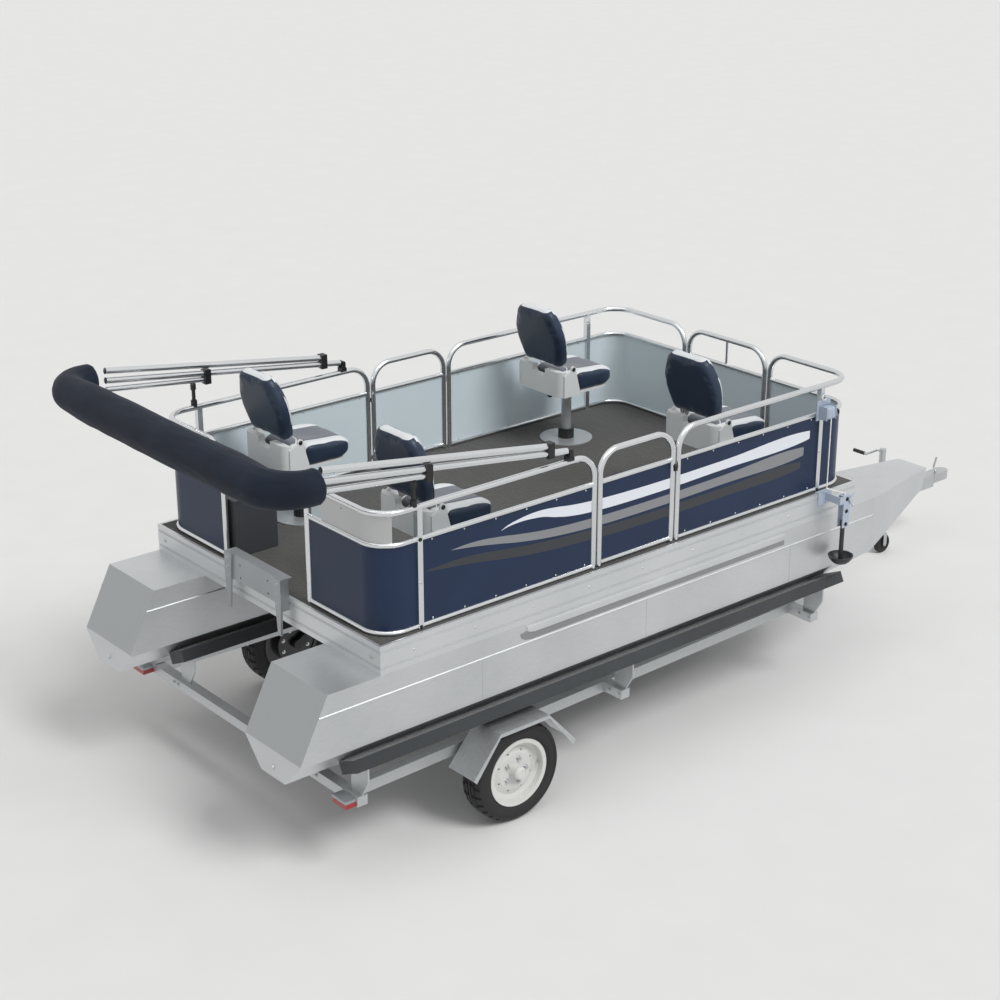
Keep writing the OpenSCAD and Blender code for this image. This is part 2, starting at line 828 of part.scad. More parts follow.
module anchor() {
    color("dimgray") on_deck() translate([gear_x, anchor_y, bowl_z]) {
        difference() {
            union() {
                intersection() {
                    translate([0, 0, bowl_r * 0.25]) sphere(r = bowl_r);
                    translate([0, 0, -bowl_r]) cylinder(r = bowl_r, h = bowl_r);
                }
                translate([0, 0, -20]) cylinder(d = 26, h = davit_z - 150 - bowl_z + 36);
            }
            difference() {
                intersection() {
                    translate([0, 0, bowl_r * 0.25]) sphere(r = bowl_r - 8);
                    translate([0, 0, -bowl_r]) cylinder(r = bowl_r, h = bowl_r + 1);
                }
                translate([0, 0, -bowl_r]) cylinder(d = 26, h = 2 * bowl_r);
            }
            translate([0, 40, davit_z - 150 - bowl_z]) rotate([90, 0, 0]) cylinder(r = 6 + fit, h = 80);
        }
    }
}

module anchor_winch() {
    post_x = deck_l - fore_post_x;
    out_y = -fence_y - post_w / 2;
    color("lightsteelblue") on_deck() {
        block([post_x - 50, out_y - 6, winch_z - 40], [post_x + 60, out_y, winch_z + 75]);
        for (x = [post_x - 30, post_x + 44])
            block([x, out_y - 62, winch_z - 30], [x + 5, out_y - 6, winch_z + 45]);
        translate([post_x - 30, out_y - 36, winch_z]) rotate([0, 90, 0]) cylinder(r = 18, h = 74);
        translate([post_x + 49, out_y - 36, winch_z]) rotate([0, 90, 0]) cylinder(r = 5, h = 26);
        translate([post_x + 70, out_y - 36, winch_z - 14]) rotate([0, 90, 0]) cylinder(r = 14, h = 5);
    }
}

module anchor_rope() {
    out_y = -fence_y - post_w / 2;
    side_y = out_y - 36 - 18 - rope_d / 2;
    turn_z = davit_z + 60;
    end_z = davit_z + 30;
    color("white") on_deck() {
        rod([rope_x, side_y, winch_z], [rope_x, side_y, turn_z - rope_d / 2], rope_d);
        rod([rope_x, side_y, turn_z], [gear_x, anchor_y, end_z], rope_d);
        translate([gear_x, anchor_y, davit_z + 22]) cylinder(d = rope_d + 5, h = 16);
    }
}

// ---- trailer ----
rail_aft_y = pontoon_y + 115;
rail_fore_y = pontoon_y + 20;
rail_aft_x = -150;
rail_fore_x = deck_l - 40;
cross_x = [-125, 1600, deck_l - 290];
frame_z0 = frame_h - frame_rail_h;
beam_end = half;
tongue_w = 80;
tongue_h = 90;
tongue_z0 = frame_h - 78;
tongue_fore_x = coupler_x - 170;
jack_x = coupler_x - jack_back;
jack_d = 44;
board_t = 64;
board_w = 140;
board_tilt = 25;
bunk_aft_x = -190;
bunk_fore_x = deck_l - 120;
hub_h = tyre_d / 2;
wheel_out_y = half + 85;
wheel_in_y = wheel_out_y - tyre_w;

function rail_y(x) =
    rail_aft_y + (rail_fore_y - rail_aft_y) * (x - rail_aft_x) / (rail_fore_x - rail_aft_x);

module bar_between(a, b, w, z0, z1) {
    v = b - a;
    translate([a.x, a.y, z0]) rotate([0, 0, atan2(v.y, v.x)]) translate([0, -w / 2, 0])
        cube([norm(v), w, z1 - z0]);
}

module trailer_frame() {
    color("lightgray") on_ground() difference() {
        union() {
            both_sides() {
                bar_between([rail_aft_x, rail_aft_y], [rail_fore_x, rail_fore_y],
                    frame_rail_w, frame_z0, frame_h);
                bar_between([rail_fore_x - 30, rail_fore_y], [tongue_fore_x - 900, tongue_w / 2 - 10],
                    frame_rail_w, frame_z0, frame_h);
            }
            for (x = cross_x) slab(x - 30, x + 30, 2 * beam_end, frame_z0 + 4, frame_h - 4);
            slab(cross_x[2] - 30, tongue_fore_x, tongue_w, tongue_z0, tongue_z0 + tongue_h);
        }
        translate([jack_x, 0, 0]) cylinder(d = jack_d + 2 * fit, h = 2 * frame_h);
    }
}

// Inner top edge of a bunk board, which bears on the pontoon's sloping lower side
facet_a = atan2(pontoon_d - side_h, (pontoon_w - keel_w) / 2);
bear = [keel_w / 2 + 37, keel_h + 37 * tan(facet_a)] + fit * [sin(facet_a), -cos(facet_a)];
across = [cos(board_tilt), sin(board_tilt)];
down = [sin(board_tilt), -cos(board_tilt)];

module each_bunk() {
    both_sides() translate([0, pontoon_y, 0]) {
        children();
        mirror([0, 1, 0]) children();
    }
}

module bunks() {
    color("dimgray") on_ground() each_bunk() translate([bunk_aft_x, 0, 0]) rotate([90, 0, 90])
        linear_extrude(bunk_fore_x - bunk_aft_x) polygon([
            bear, bear + board_w * across,
            bear + board_w * across + board_t * down, bear + board_t * down
        ]);
}

module bunk_brackets() {
    t = 10;
    inner = bear + (board_t + fit) * down;
    outer = inner + (board_w - 6) * across;
    foot_y = beam_end - pontoon_y;
    color("lightgray") on_ground() each_bunk() for (x = cross_x)
        translate([x - t / 2, 0, 0]) rotate([90, 0, 90]) linear_extrude(t) polygon([
            [inner.x - 14, frame_h - 4], [foot_y, frame_h - 4], [outer.x, outer.y - 75],
            outer, inner, [inner.x - 14, inner.y]
        ]);
}

beam_x = wheel_x + 140;
beam_z = frame_z0 - 40;
arm_y = wheel_in_y - 62;

module axle() {
    color("dimgray") on_ground() {
        slab(beam_x - 30, beam_x + 30, 2 * (arm_y + 10), beam_z - 30, beam_z + 30);
        both_sides() {
            block([beam_x - 40, rail_y(beam_x) - 26, beam_z + 30],
                [beam_x + 40, rail_y(beam_x) + 26, frame_z0]);
            translate([0, arm_y, 0]) link([beam_x, beam_z], [wheel_x, hub_h], 56, 24);
            translate([wheel_x, arm_y + 20, hub_h]) rotate([-90, 0, 0])
                cylinder(r = 16, h = wheel_out_y - arm_y - 50);
        }
    }
}

fender_top = tyre_d + 10;
fender_in_y = arm_y + 38;
fender_out_y = wheel_out_y + 25;
fender_t = 3;

// The four corners of a fender's side view
fender_line = [
    [wheel_x - 320, 347], [wheel_x - 145, fender_top], [wheel_x + 175, fender_top], [wheel_x + 360, 347]
];

module fender_side(down) {
    polygon(concat(fender_line,
        [for (i = [3 : -1 : 0]) fender_line[i] - [i == 0 ? -down : i == 3 ? down : 0, down]]));
}

module fenders() {
    color("lightgray") on_ground() both_sides() {
        translate([0, fender_out_y, 0]) rotate([90, 0, 0]) linear_extrude(fender_out_y - fender_in_y)
            fender_side(fender_t);
        translate([0, fender_out_y, 0]) rotate([90, 0, 0]) linear_extrude(fender_t) fender_side(20);
        // stays from the frame rail to the fender's top
        for (x = [wheel_x - 120, wheel_x + 140])
            block([x - 15, rail_y(x) + frame_rail_w / 2 + 0.7, frame_h - 30],
                [x + 15, rail_y(x) + frame_rail_w / 2 + 6.7, fender_top - 1]);
        block([wheel_x - 135, rail_y(wheel_x) + frame_rail_w / 2 - 6, fender_top - 3],
            [wheel_x + 155, fender_in_y + 6, fender_top]);
    }
}

module tail_lights() {
    x = cross_x[0] - 30;
    y = pontoon_y + 165;
    color("firebrick") on_ground() both_sides()
        block([x - 62, y - 55, frame_h - 52], [x, y + 55, frame_h - 12]);
}

module coupler() {
    z = tongue_z0 + tongue_h / 2;
    cup_x = coupler_x - 42;
    socket_r = 25.4 + fit;
    color("silver") on_ground() difference() {
        union() {
            slab(tongue_fore_x, cup_x, 84, z - 20, z + 40);
            translate([cup_x, 0, z - 20]) cylinder(r = 42, h = 60);
            rod([cup_x - 56, 0, z + 30], [cup_x - 92, 0, z + 82], 14);
            rod([cup_x - 91, 0, z + 75], [cup_x - 66, 0, z + 144], 14);
        }
        translate([cup_x, 0, z - 21]) rotate_extrude() polygon([
            [0, 0], [socket_r, 0], [socket_r, 21], [socket_r * 0.87, 34], [socket_r * 0.5, 43], [0, 46]
        ]);
    }
}

// ---- wheels: built about their axle along +Y, with y from the boat's centre line ----
spindle_r = 16;
drum_d = 236;
bolt_ring_r = 112;

module at_wheel() {
    on_ground() translate([wheel_x, 0, hub_h]) children();
}

module wheel_rim() {
    bead_d = rim_d - 26;
    disc_y = wheel_out_y - 42;
    color("white") difference() {
        rotate([-90, 0, 0]) rotate_extrude() polygon([
            [spindle_r + run_fit, wheel_in_y - 30], [drum_d / 2, wheel_in_y - 30],
            [drum_d / 2, wheel_in_y + 12], [bead_d / 2 - 9, wheel_in_y + 12],
            [bead_d / 2 - 9, wheel_in_y + 6], [rim_d / 2, wheel_in_y + 6],
            [rim_d / 2, wheel_in_y + 12], [bead_d / 2, wheel_in_y + 18],
            [bead_d / 2, wheel_out_y - 18], [rim_d / 2, wheel_out_y - 12], [rim_d / 2, wheel_out_y - 6],
            [bead_d / 2 - 9, wheel_out_y - 8], [bead_d / 2 - 12, disc_y + 2],
            [bolt_ring_r + 22, disc_y - 8], [bolt_ring_r - 14, disc_y + 6], [44, disc_y + 6],
            [40, disc_y + 16], [34, wheel_out_y + 6], [24, wheel_out_y + 14], [0, wheel_out_y + 14],
            [0, wheel_out_y - 28], [spindle_r + run_fit, wheel_out_y - 28]
        ]);
        for (a = [0 : 45 : 315]) rotate([0, a + 22, 0]) translate([bolt_ring_r, disc_y - 40, 0])
            rotate([-90, 0, 0]) cylinder(r = 6, h = 60);
    }
}

module wheel_tyre() {
    bead_d = rim_d - 26;
    r = tyre_d / 2;
    color("dimgray") rotate([-90, 0, 0]) rotate_extrude() polygon([
        [bead_d / 2, wheel_in_y + 18], [rim_d / 2, wheel_in_y + 12], [rim_d / 2 + 2, wheel_in_y + 5],
        [rim_d / 2 + 20, wheel_in_y], [r - 30, wheel_in_y + 1], [r - 10, wheel_in_y + 9],
        [r, wheel_in_y + 30],
        [r, wheel_out_y - 30], [r - 10, wheel_out_y - 9], [r - 30, wheel_out_y - 1],
        [rim_d / 2 + 20, wheel_out_y], [rim_d / 2 + 2, wheel_out_y - 5], [rim_d / 2, wheel_out_y - 12],
        [bead_d / 2, wheel_out_y - 18]
    ]);
}

module wheel_port_rim() {
    at_wheel() wheel_rim();
}

module wheel_port_tyre() {
    at_wheel() wheel_tyre();
}

module wheel_starboard_rim() {
    at_wheel() mirror([0, 1, 0]) wheel_rim();
}

module wheel_starboard_tyre() {
    at_wheel() mirror([0, 1, 0]) wheel_tyre();
}

// ---- jack: built about its tube, with z from the ground ----
jack_top_z = frame_h + 308;
jack_low_z = tongue_z0 - 19;
leg_d = 34;
leg_travel = 200;
caster_trail = 60;
fork_z = caster_d + 6;
fork_t = 6;
crank_z = jack_top_z - 22;
crank_arm = 112;

module at_jack() {
    on_ground() translate([jack_x, 0, 0]) children();
}

module jack_tube() {
    color("silver") at_jack() difference() {
        translate([0, 0, jack_low_z]) cylinder(d = jack_d, h = jack_top_z - jack_low_z);
        translate([0, 0, jack_low_z - 1]) cylinder(d = leg_d + 1, h = jack_top_z - jack_low_z - 44);
    }
}

module jack_leg() {
    color("lightgray") at_jack() translate([0, 0, fork_z + fork_t + 0.5])
        cylinder(d = leg_d, h = jack_top_z - 55 - leg_travel - fork_z - fork_t);
}

module jack_fork() {
    plate_y = 24;
    color("dimgray") at_jack() {
        slab(-22, caster_trail + 16, 2 * plate_y + 12, fork_z, fork_z + fork_t);
        for (y = [-plate_y - 6, plate_y]) translate([0, y, 0]) {
            block([caster_trail - 16, 0, caster_d / 2], [caster_trail + 16, 6, fork_z + 1]);
            translate([caster_trail, 6, caster_d / 2]) rotate([90, 0, 0]) cylinder(r = 16, h = 6);
        }
        translate([caster_trail, plate_y + 10, caster_d / 2]) rotate([90, 0, 0])
            cylinder(r = 6, h = 2 * plate_y + 20);
    }
}

module jack_wheel() {
    w = 38;
    r = caster_d / 2;
    color("dimgray") at_jack() translate([caster_trail, 0, r]) rotate([90, 0, 0]) rotate_extrude() polygon([
        [6 + run_fit, -w / 2 - 3], [16, -w / 2 - 3], [18, -w / 2 + 6], [r - 22, -w / 2 + 6],
        [r - 18, -w / 2],
        [r - 6, -w / 2], [r, -w / 2 + 7], [r, w / 2 - 7], [r - 6, w / 2],
        [r - 18, w / 2], [r - 22, w / 2 - 6], [18, w / 2 - 6], [16, w / 2 + 3], [6 + run_fit, w / 2 + 3]
    ]);
}

module jack_crank() {
    shaft_y = jack_d / 2 + fit;
    color("silver") at_jack() translate([0, 0, crank_z]) {
        translate([0, shaft_y + 30, 0]) rotate([90, 0, 0]) cylinder(r = 6, h = 30);
        translate([0, shaft_y + 20, 0]) link([0, 0], [-crank_arm, 0], 14, 8);
        translate([-crank_arm, shaft_y + 132, 0]) rotate([90, 0, 0]) cylinder(r = 9, h = 110);
    }
}

// ---- one line per node ----
pontoons();
deck_beams();
deck_floor();
deck_edge();
motor_bracket();
stern_locker();
locker_lid();
fence_aft();
fence_bow();
skins_aft();
skins_bow();
infill_plate();
gate_port();
gate_port_skin();
gate_starboard();
gate_starboard_skin();
gate_bow();
gate_bow_skin();
bimini_mounts();
bimini_bows();
bimini_fittings();
bimini_cover();
seat_posts();
seat_collars();
seat_1_shell();
seat_1_pad();
seat_1_back();
seat_2_shell();
seat_2_pad();
seat_2_back();
seat_3_shell();
seat_3_pad();
seat_3_back();
seat_4_shell();
seat_4_pad();
seat_4_back();
anchor_davit();
anchor_winch();
anchor_rope();
anchor();
trailer_frame();
bunks();
bunk_brackets();
axle();
fenders();
tail_lights();
coupler();
wheel_port_rim();
wheel_port_tyre();
wheel_starboard_rim();
wheel_starboard_tyre();
jack_tube();
jack_leg();
jack_fork();
jack_wheel();
jack_crank();
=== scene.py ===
import math

import bmesh
import bpy
from mathutils import Matrix, Vector, noise


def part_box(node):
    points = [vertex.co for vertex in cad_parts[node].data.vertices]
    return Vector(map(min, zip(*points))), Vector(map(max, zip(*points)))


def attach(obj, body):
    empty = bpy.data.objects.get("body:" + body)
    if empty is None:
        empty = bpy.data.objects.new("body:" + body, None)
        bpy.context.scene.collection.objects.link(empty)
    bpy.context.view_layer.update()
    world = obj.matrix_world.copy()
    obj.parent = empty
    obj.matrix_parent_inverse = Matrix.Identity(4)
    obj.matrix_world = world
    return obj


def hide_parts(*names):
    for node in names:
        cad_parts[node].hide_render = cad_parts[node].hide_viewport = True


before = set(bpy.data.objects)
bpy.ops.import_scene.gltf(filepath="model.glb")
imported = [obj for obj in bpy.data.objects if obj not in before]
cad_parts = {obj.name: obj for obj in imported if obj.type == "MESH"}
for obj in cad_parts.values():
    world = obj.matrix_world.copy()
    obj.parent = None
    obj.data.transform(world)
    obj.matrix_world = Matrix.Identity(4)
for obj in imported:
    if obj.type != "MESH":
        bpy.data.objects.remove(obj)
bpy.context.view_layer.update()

# ---- places taken from the frame, in metres ----
EDGE_T = 0.014  # the deck's edge extrusion round the boards
SKIN_HALF = 0.0015  # half of the fence sheet's thickness
DECK_L = 3.39
FLOOR_LO, FLOOR_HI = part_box("deck_floor")
DECK_Z = FLOOR_HI[2]
STERN_X = FLOOR_LO[0] - EDGE_T
FENCE_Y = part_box("skins_aft")[1][1] - SKIN_HALF

# ---- where the seat vinyl's panels meet, in metres across or up each cushion ----
PAN_MIDDLE, PAN_STRIPE = 0.105, 0.165
PAN_PANEL_Z = 0.068  # the panels start here, above the navy sides
PIPING_X, PIPING_BOW, PIPING_HALF = -0.045, 4.5, 0.004
BACK_MIDDLE, BACK_STRIPE, BACK_RIM = 0.095, 0.14, 0.178
BACK_FRONT_X, BACK_RIM_X = -0.018, -0.012
BROW_Z = 0.372


def on_deck(x, y, z):
    """A point from the deck's stern edge, the centre line and the deck's top, in metres."""
    return Vector((STERN_X + x, y, DECK_Z + z))


# ---- materials ----
def linear(code):
    """An sRGB hex colour as linear RGBA."""
    parts = [int(code[i:i + 2], 16) / 255 for i in (1, 3, 5)]
    return [c / 12.92 if c <= 0.04045 else ((c + 0.055) / 1.055) ** 2.4 for c in parts] + [1.0]


def add(tree, kind, inputs=None, **settings):
    """One node with its settings, and its inputs set to a value or linked to a socket."""
    made = tree.nodes.new(kind)
    for key, value in settings.items():
        setattr(made, key, value)
    for key, value in (inputs or {}).items():
        if isinstance(value, bpy.types.NodeSocket):
            tree.links.new(value, made.inputs[key])
        else:
            made.inputs[key].default_value = value
    return made


def math_node(tree, operation, a, b=0.0, c=0.0):
    return add(tree, "ShaderNodeMath", {0: a, 1: b, 2: c}, operation=operation).outputs[0]


def mix_color(tree, factor, a, b):
    made = add(tree, "ShaderNodeMix", {0: factor, 6: a, 7: b}, data_type="RGBA")
    return made.outputs[2]


def new_material(name):
    made = bpy.data.materials.new(name)
    made.use_nodes = True
    tree = made.node_tree
    return made, tree, tree.nodes["Principled BSDF"]


def object_point(tree):
    return add(tree, "ShaderNodeTexCoord").outputs["Object"]


def stretched(tree, point, scale):
    return add(tree, "ShaderNodeMapping", {"Vector": point, "Scale": scale}).outputs[0]


GLOSS_SPREAD = 0.08
BLOTCH_SCALE = 2.0


def surface(name, color, other, metallic, roughness, grain, stretch=(1, 1, 1), bump=0.1, depth=0.0005,
            coat=0.0, sheen=0.0):
    """A material whose colour, gloss and relief vary with a fine and a broad noise."""
    made, tree, shader = new_material(name)
    point = stretched(tree, object_point(tree), stretch)
    fine = add(tree, "ShaderNodeTexNoise", {"Vector": point, "Scale": 1 / grain, "Detail": 3.0}).outputs[0]
    broad = add(tree, "ShaderNodeTexNoise",
                {"Vector": object_point(tree), "Scale": BLOTCH_SCALE, "Detail": 2.0}).outputs[0]
    both = math_node(tree, "MULTIPLY_ADD", fine, 0.5, math_node(tree, "MULTIPLY", broad, 0.5))
    spread = add(tree, "ShaderNodeMapRange", {"Value": both, "From Min": 0.3, "From Max": 0.7}).outputs[0]
    color_out = mix_color(tree, spread, linear(color), linear(other))
    tree.links.new(color_out, shader.inputs["Base Color"])
    rough = math_node(tree, "MULTIPLY_ADD", fine, GLOSS_SPREAD * 2, roughness - GLOSS_SPREAD)
    tree.links.new(rough, shader.inputs["Roughness"])
    relief = add(tree, "ShaderNodeBump", {"Height": fine, "Strength": bump, "Distance": depth}).outputs[0]
    tree.links.new(relief, shader.inputs["Normal"])
    shader.inputs["Metallic"].default_value = metallic
    shader.inputs["Coat Weight"].default_value = coat
    shader.inputs["Sheen Weight"].default_value = sheen
    return made


WAVE_SPAN = 3.14  # a wave texture's bands per unit of scale


def woven(name, color, other, thread, roughness, depth):
    """Canvas: two crossed sets of threads, drawn coarser than real so that they show."""
    made, tree, shader = new_material(name)
    point = object_point(tree)
    waves = []
    for axis in ("X", "Y", "Z"):
        wave = add(tree, "ShaderNodeTexWave",
                   {"Vector": point, "Scale": 1 / thread / WAVE_SPAN, "Distortion": 0.6}, bands_direction=axis)
        waves.append(wave.outputs[1])
    weave = math_node(tree, "MULTIPLY", math_node(tree, "ADD", waves[0], waves[1]), waves[2])
    broad = add(tree, "ShaderNodeTexNoise", {"Vector": point, "Scale": 5.0, "Detail": 4.0}).outputs[0]
    spread = add(tree, "ShaderNodeMapRange", {"Value": broad, "From Min": 0.3, "From Max": 0.7}).outputs[0]
    tree.links.new(mix_color(tree, spread, linear(color), linear(other)), shader.inputs["Base Color"])
    relief = add(tree, "ShaderNodeBump", {"Height": weave, "Strength": 0.35, "Distance": depth}).outputs[0]
    tree.links.new(relief, shader.inputs["Normal"])
    shader.inputs["Roughness"].default_value = roughness
    shader.inputs["Specular IOR Level"].default_value = 0.2
    shader.inputs["Sheen Weight"].default_value = 0.08
    shader.inputs["Sheen Roughness"].default_value = 0.5
    return made


# Outlines of the three painted waves: distance from the stern, top and bottom height, in millimetres
WAVES = [
    ("#3a3d42", [(307, 283, 282), (450, 292, 264), (600, 288, 246), (800, 264, 214), (1000, 241, 188),
                 (1350, 219, 164), (1700, 206, 152), (2300, 206, 154), (2930, 211, 169), (2960, 190, 189)]),
    ("#85878a", [(464, 350, 349), (600, 355, 331), (760, 340, 303), (900, 318, 276), (1100, 294, 249),
                 (1350, 279, 230), (1700, 272, 222), (2300, 278, 228), (2966, 290, 241), (2990, 266, 265)]),
    ("#dde1e8", [(775, 368, 367), (880, 398, 382), (1013, 409, 375), (1130, 400, 348), (1230, 386, 328),
                 (1350, 375, 315), (1700, 362, 304), (2300, 364, 312), (3008, 377, 329), (3032, 353, 352)]),
]


CURVE_TOP = 0.5  # the height in metres at which the curve reads 1


def wave_edge(tree, along, points, column):
    """The height of a wave's edge, in metres, along the fence."""
    share = math_node(tree, "DIVIDE", along, DECK_L)
    made = add(tree, "ShaderNodeFloatCurve", {"Factor": 1.0, "Value": share})
    curve = made.mapping.curves[0]
    table = [(p[0] / 1000 / DECK_L, p[column] / 1000 / CURVE_TOP) for p in points]
    curve.points[0].location = table[0]
    curve.points[1].location = table[-1]
    for x, y in table[1:-1]:
        curve.points.new(x, y)
    made.mapping.update()
    return math_node(tree, "MULTIPLY", made.outputs[0], CURVE_TOP)


SIDE_SHEET_Y = 0.94  # the straight side sheets lie outboard of this


def fence_sheet_paint():
    """Coil-coated aluminium sheet: navy outside with three painted waves along each side, pale inside."""
    made, tree, shader = new_material("coil_coated_fence_sheet")
    point = object_point(tree)
    # a sheet's outer face looks away from the nearest point of a box inside the fence's round corners
    low = tuple(on_deck(0.185, -0.815, -1))
    high = tuple(on_deck(3.205, 0.815, 2))
    inner = add(tree, "ShaderNodeVectorMath", {0: point, 1: low}, operation="MAXIMUM").outputs[0]
    inner = add(tree, "ShaderNodeVectorMath", {0: inner, 1: high}, operation="MINIMUM").outputs[0]
    outward = add(tree, "ShaderNodeVectorMath", {0: point, 1: inner}, operation="SUBTRACT").outputs[0]
    normal = add(tree, "ShaderNodeTexCoord").outputs["Normal"]
    facing = add(tree, "ShaderNodeVectorMath", {0: outward, 1: normal},
                 operation="DOT_PRODUCT").outputs["Value"]
    outside = math_node(tree, "GREATER_THAN", facing, 0.0)
    parts = add(tree, "ShaderNodeSeparateXYZ", {0: point})
    along = math_node(tree, "SUBTRACT", parts.outputs[0], STERN_X)
    height = math_node(tree, "SUBTRACT", parts.outputs[2], DECK_Z)
    side = math_node(tree, "GREATER_THAN", math_node(tree, "ABSOLUTE", parts.outputs[1]), SIDE_SHEET_Y)
    broad = add(tree, "ShaderNodeTexNoise", {"Vector": point, "Scale": 3.0, "Detail": 2.0}).outputs[0]
    color = mix_color(tree, broad, linear("#172640"), linear("#1d2f4e"))
    for paint, points in WAVES:
        under = math_node(tree, "LESS_THAN", height, wave_edge(tree, along, points, 1))
        over = math_node(tree, "GREATER_THAN", height, wave_edge(tree, along, points, 2))
        started = math_node(tree, "GREATER_THAN", along, points[0][0] / 1000)
        ended = math_node(tree, "LESS_THAN", along, points[-1][0] / 1000)
        mask = side
        for part in (under, over, started, ended):
            mask = math_node(tree, "MULTIPLY", mask, part)
        color = mix_color(tree, mask, color, linear(paint))
    pale = mix_color(tree, broad, linear("#d3e2e9"), linear("#e0ebf0"))
    tree.links.new(mix_color(tree, outside, pale, color), shader.inputs["Base Color"])
    peel = add(tree, "ShaderNodeTexNoise", {"Vector": point, "Scale": 160.0, "Detail": 2.0}).outputs[0]
    relief = add(tree, "ShaderNodeBump", {"Height": peel, "Strength": 0.04, "Distance": 0.0004}).outputs[0]
    tree.links.new(relief, shader.inputs["Normal"])
    shader.inputs["Roughness"].default_value = 0.28
    shader.inputs["Specular IOR Level"].default_value = 0.3
    return made


def seat_vinyl(name, back):
    """Marine vinyl, with panels by place on the seat, read from the attribute seat_place in metres.
    A pan has a grey middle between two white stripes; a back is navy with a white brow and rim."""
    made, tree, shader = new_material(name)
    place = add(tree, "ShaderNodeAttribute", attribute_name="seat_place").outputs["Vector"]
    parts = add(tree, "ShaderNodeSeparateXYZ", {0: place})
    across = math_node(tree, "ABSOLUTE", parts.outputs[1])
    grain = add(tree, "ShaderNodeTexNoise", {"Vector": place, "Scale": 260.0, "Detail": 3.0}).outputs[0]
    navy = mix_color(tree, grain, linear("#232f41"), linear("#2f3c50"))
    grey = mix_color(tree, grain, linear("#5f646d"), linear("#767b84"))
    white = mix_color(tree, grain, linear("#d3d7da"), linear("#e4e7e8"))
    if back:
        in_middle = math_node(tree, "LESS_THAN", across, BACK_MIDDLE)
        in_stripe = math_node(tree, "LESS_THAN", across, BACK_STRIPE)
        ahead = math_node(tree, "GREATER_THAN", parts.outputs[0], BACK_FRONT_X)
        color = mix_color(tree, math_node(tree, "MULTIPLY", in_stripe, ahead), navy, white)
        color = mix_color(tree, math_node(tree, "MULTIPLY", in_middle, ahead), color, grey)
        brow = math_node(tree, "GREATER_THAN", parts.outputs[2], BROW_Z)
        rim = math_node(tree, "GREATER_THAN", parts.outputs[0], BACK_RIM_X)
        edge = math_node(tree, "GREATER_THAN", across, BACK_RIM)
        color = mix_color(tree, math_node(tree, "MULTIPLY", rim, edge), color, white)
        color = mix_color(tree, brow, color, white)
    else:
        in_stripe = math_node(tree, "LESS_THAN", across, PAN_STRIPE)
        in_middle = math_node(tree, "LESS_THAN", across, PAN_MIDDLE)
        panel = math_node(tree, "GREATER_THAN", parts.outputs[2], PAN_PANEL_Z)
        color = mix_color(tree, math_node(tree, "MULTIPLY", in_stripe, panel), navy, white)
        color = mix_color(tree, math_node(tree, "MULTIPLY", in_middle, panel), color, grey)
        # a thin white piping curves across the grey middle near the rear
        square = math_node(tree, "MULTIPLY", across, across)
        bow = math_node(tree, "MULTIPLY_ADD", square, -PIPING_BOW, PIPING_X)
        off_seam = math_node(tree, "ABSOLUTE", math_node(tree, "SUBTRACT", parts.outputs[0], bow))
        piping = math_node(tree, "MULTIPLY", math_node(tree, "LESS_THAN", off_seam, PIPING_HALF), in_middle)
        color = mix_color(tree, math_node(tree, "MULTIPLY", piping, panel), color, white)
    tree.links.new(color, shader.inputs["Base Color"])
    relief = add(tree, "ShaderNodeBump", {"Height": grain, "Strength": 0.12, "Distance": 0.0006}).outputs[0]
    tree.links.new(relief, shader.inputs["Normal"])
    shader.inputs["Roughness"].default_value = 0.36
    shader.inputs["Specular IOR Level"].default_value = 0.35
    return made


def spangled(name, color, other, crystal, roughness):
    """Hot-dip galvanised steel: zinc crystals of slightly different grey."""
    made, tree, shader = new_material(name)
    point = object_point(tree)
    cells = add(tree, "ShaderNodeTexVoronoi", {"Vector": point, "Scale": 1 / crystal}).outputs["Color"]
    tone = add(tree, "ShaderNodeSeparateColor", {0: cells}).outputs[0]
    tree.links.new(mix_color(tree, tone, linear(color), linear(other)), shader.inputs["Base Color"])
    tree.links.new(math_node(tree, "MULTIPLY_ADD", tone, 0.12, roughness), shader.inputs["Roughness"])
    shader.inputs["Metallic"].default_value = 0.75
    return made


def masked(made, mask, paint):
    """Another colour on a material, where the mask is 1."""
    tree = made.node_tree
    socket = tree.nodes["Principled BSDF"].inputs["Base Color"]
    under = socket.links[0].from_socket
    tree.links.new(mix_color(tree, mask, under, linear(paint)), socket)
    return made


def pontoon_sheet():
    """Folded aluminium sheet with faint marks along the boat; its raked stern plates have a painted shade: they
    are coloured greyer.
    """
    made = surface("mill_finish_aluminium_sheet", "#c6c9cb", "#dadcdd", 0.8, 0.42, 0.004,
                   (0.06, 1, 1), 0.05)
    tree = made.node_tree
    parts = add(tree, "ShaderNodeSeparateXYZ", {0: add(tree, "ShaderNodeTexCoord").outputs["Normal"]})
    # painted shade: faces that look aft and up, the raked stern plates, are coloured a darker grey
    aft = math_node(tree, "LESS_THAN", parts.outputs[0], -0.5)
    up = math_node(tree, "GREATER_THAN", parts.outputs[2], 0.2)
    return masked(made, math_node(tree, "MULTIPLY", aft, up), "#aeb1b3")


WHEEL_DISC_Y = 0.9478  # inboard of this the wheel is its hub drum


def wheel_enamel():
    """White enamel outboard; the hub drum and the wheel's inner face are black."""
    made = surface("white_enamelled_steel", "#cbcbc8", "#d7d7d4", 0.0, 0.3, 0.004,
                   (1, 1, 1), 0.05, coat=0.2)
    tree = made.node_tree
    parts = add(tree, "ShaderNodeSeparateXYZ", {0: object_point(tree)})
    across = math_node(tree, "ABSOLUTE", parts.outputs[1])
    return masked(made, math_node(tree, "LESS_THAN", across, WHEEL_DISC_Y), "#1b1c1e")


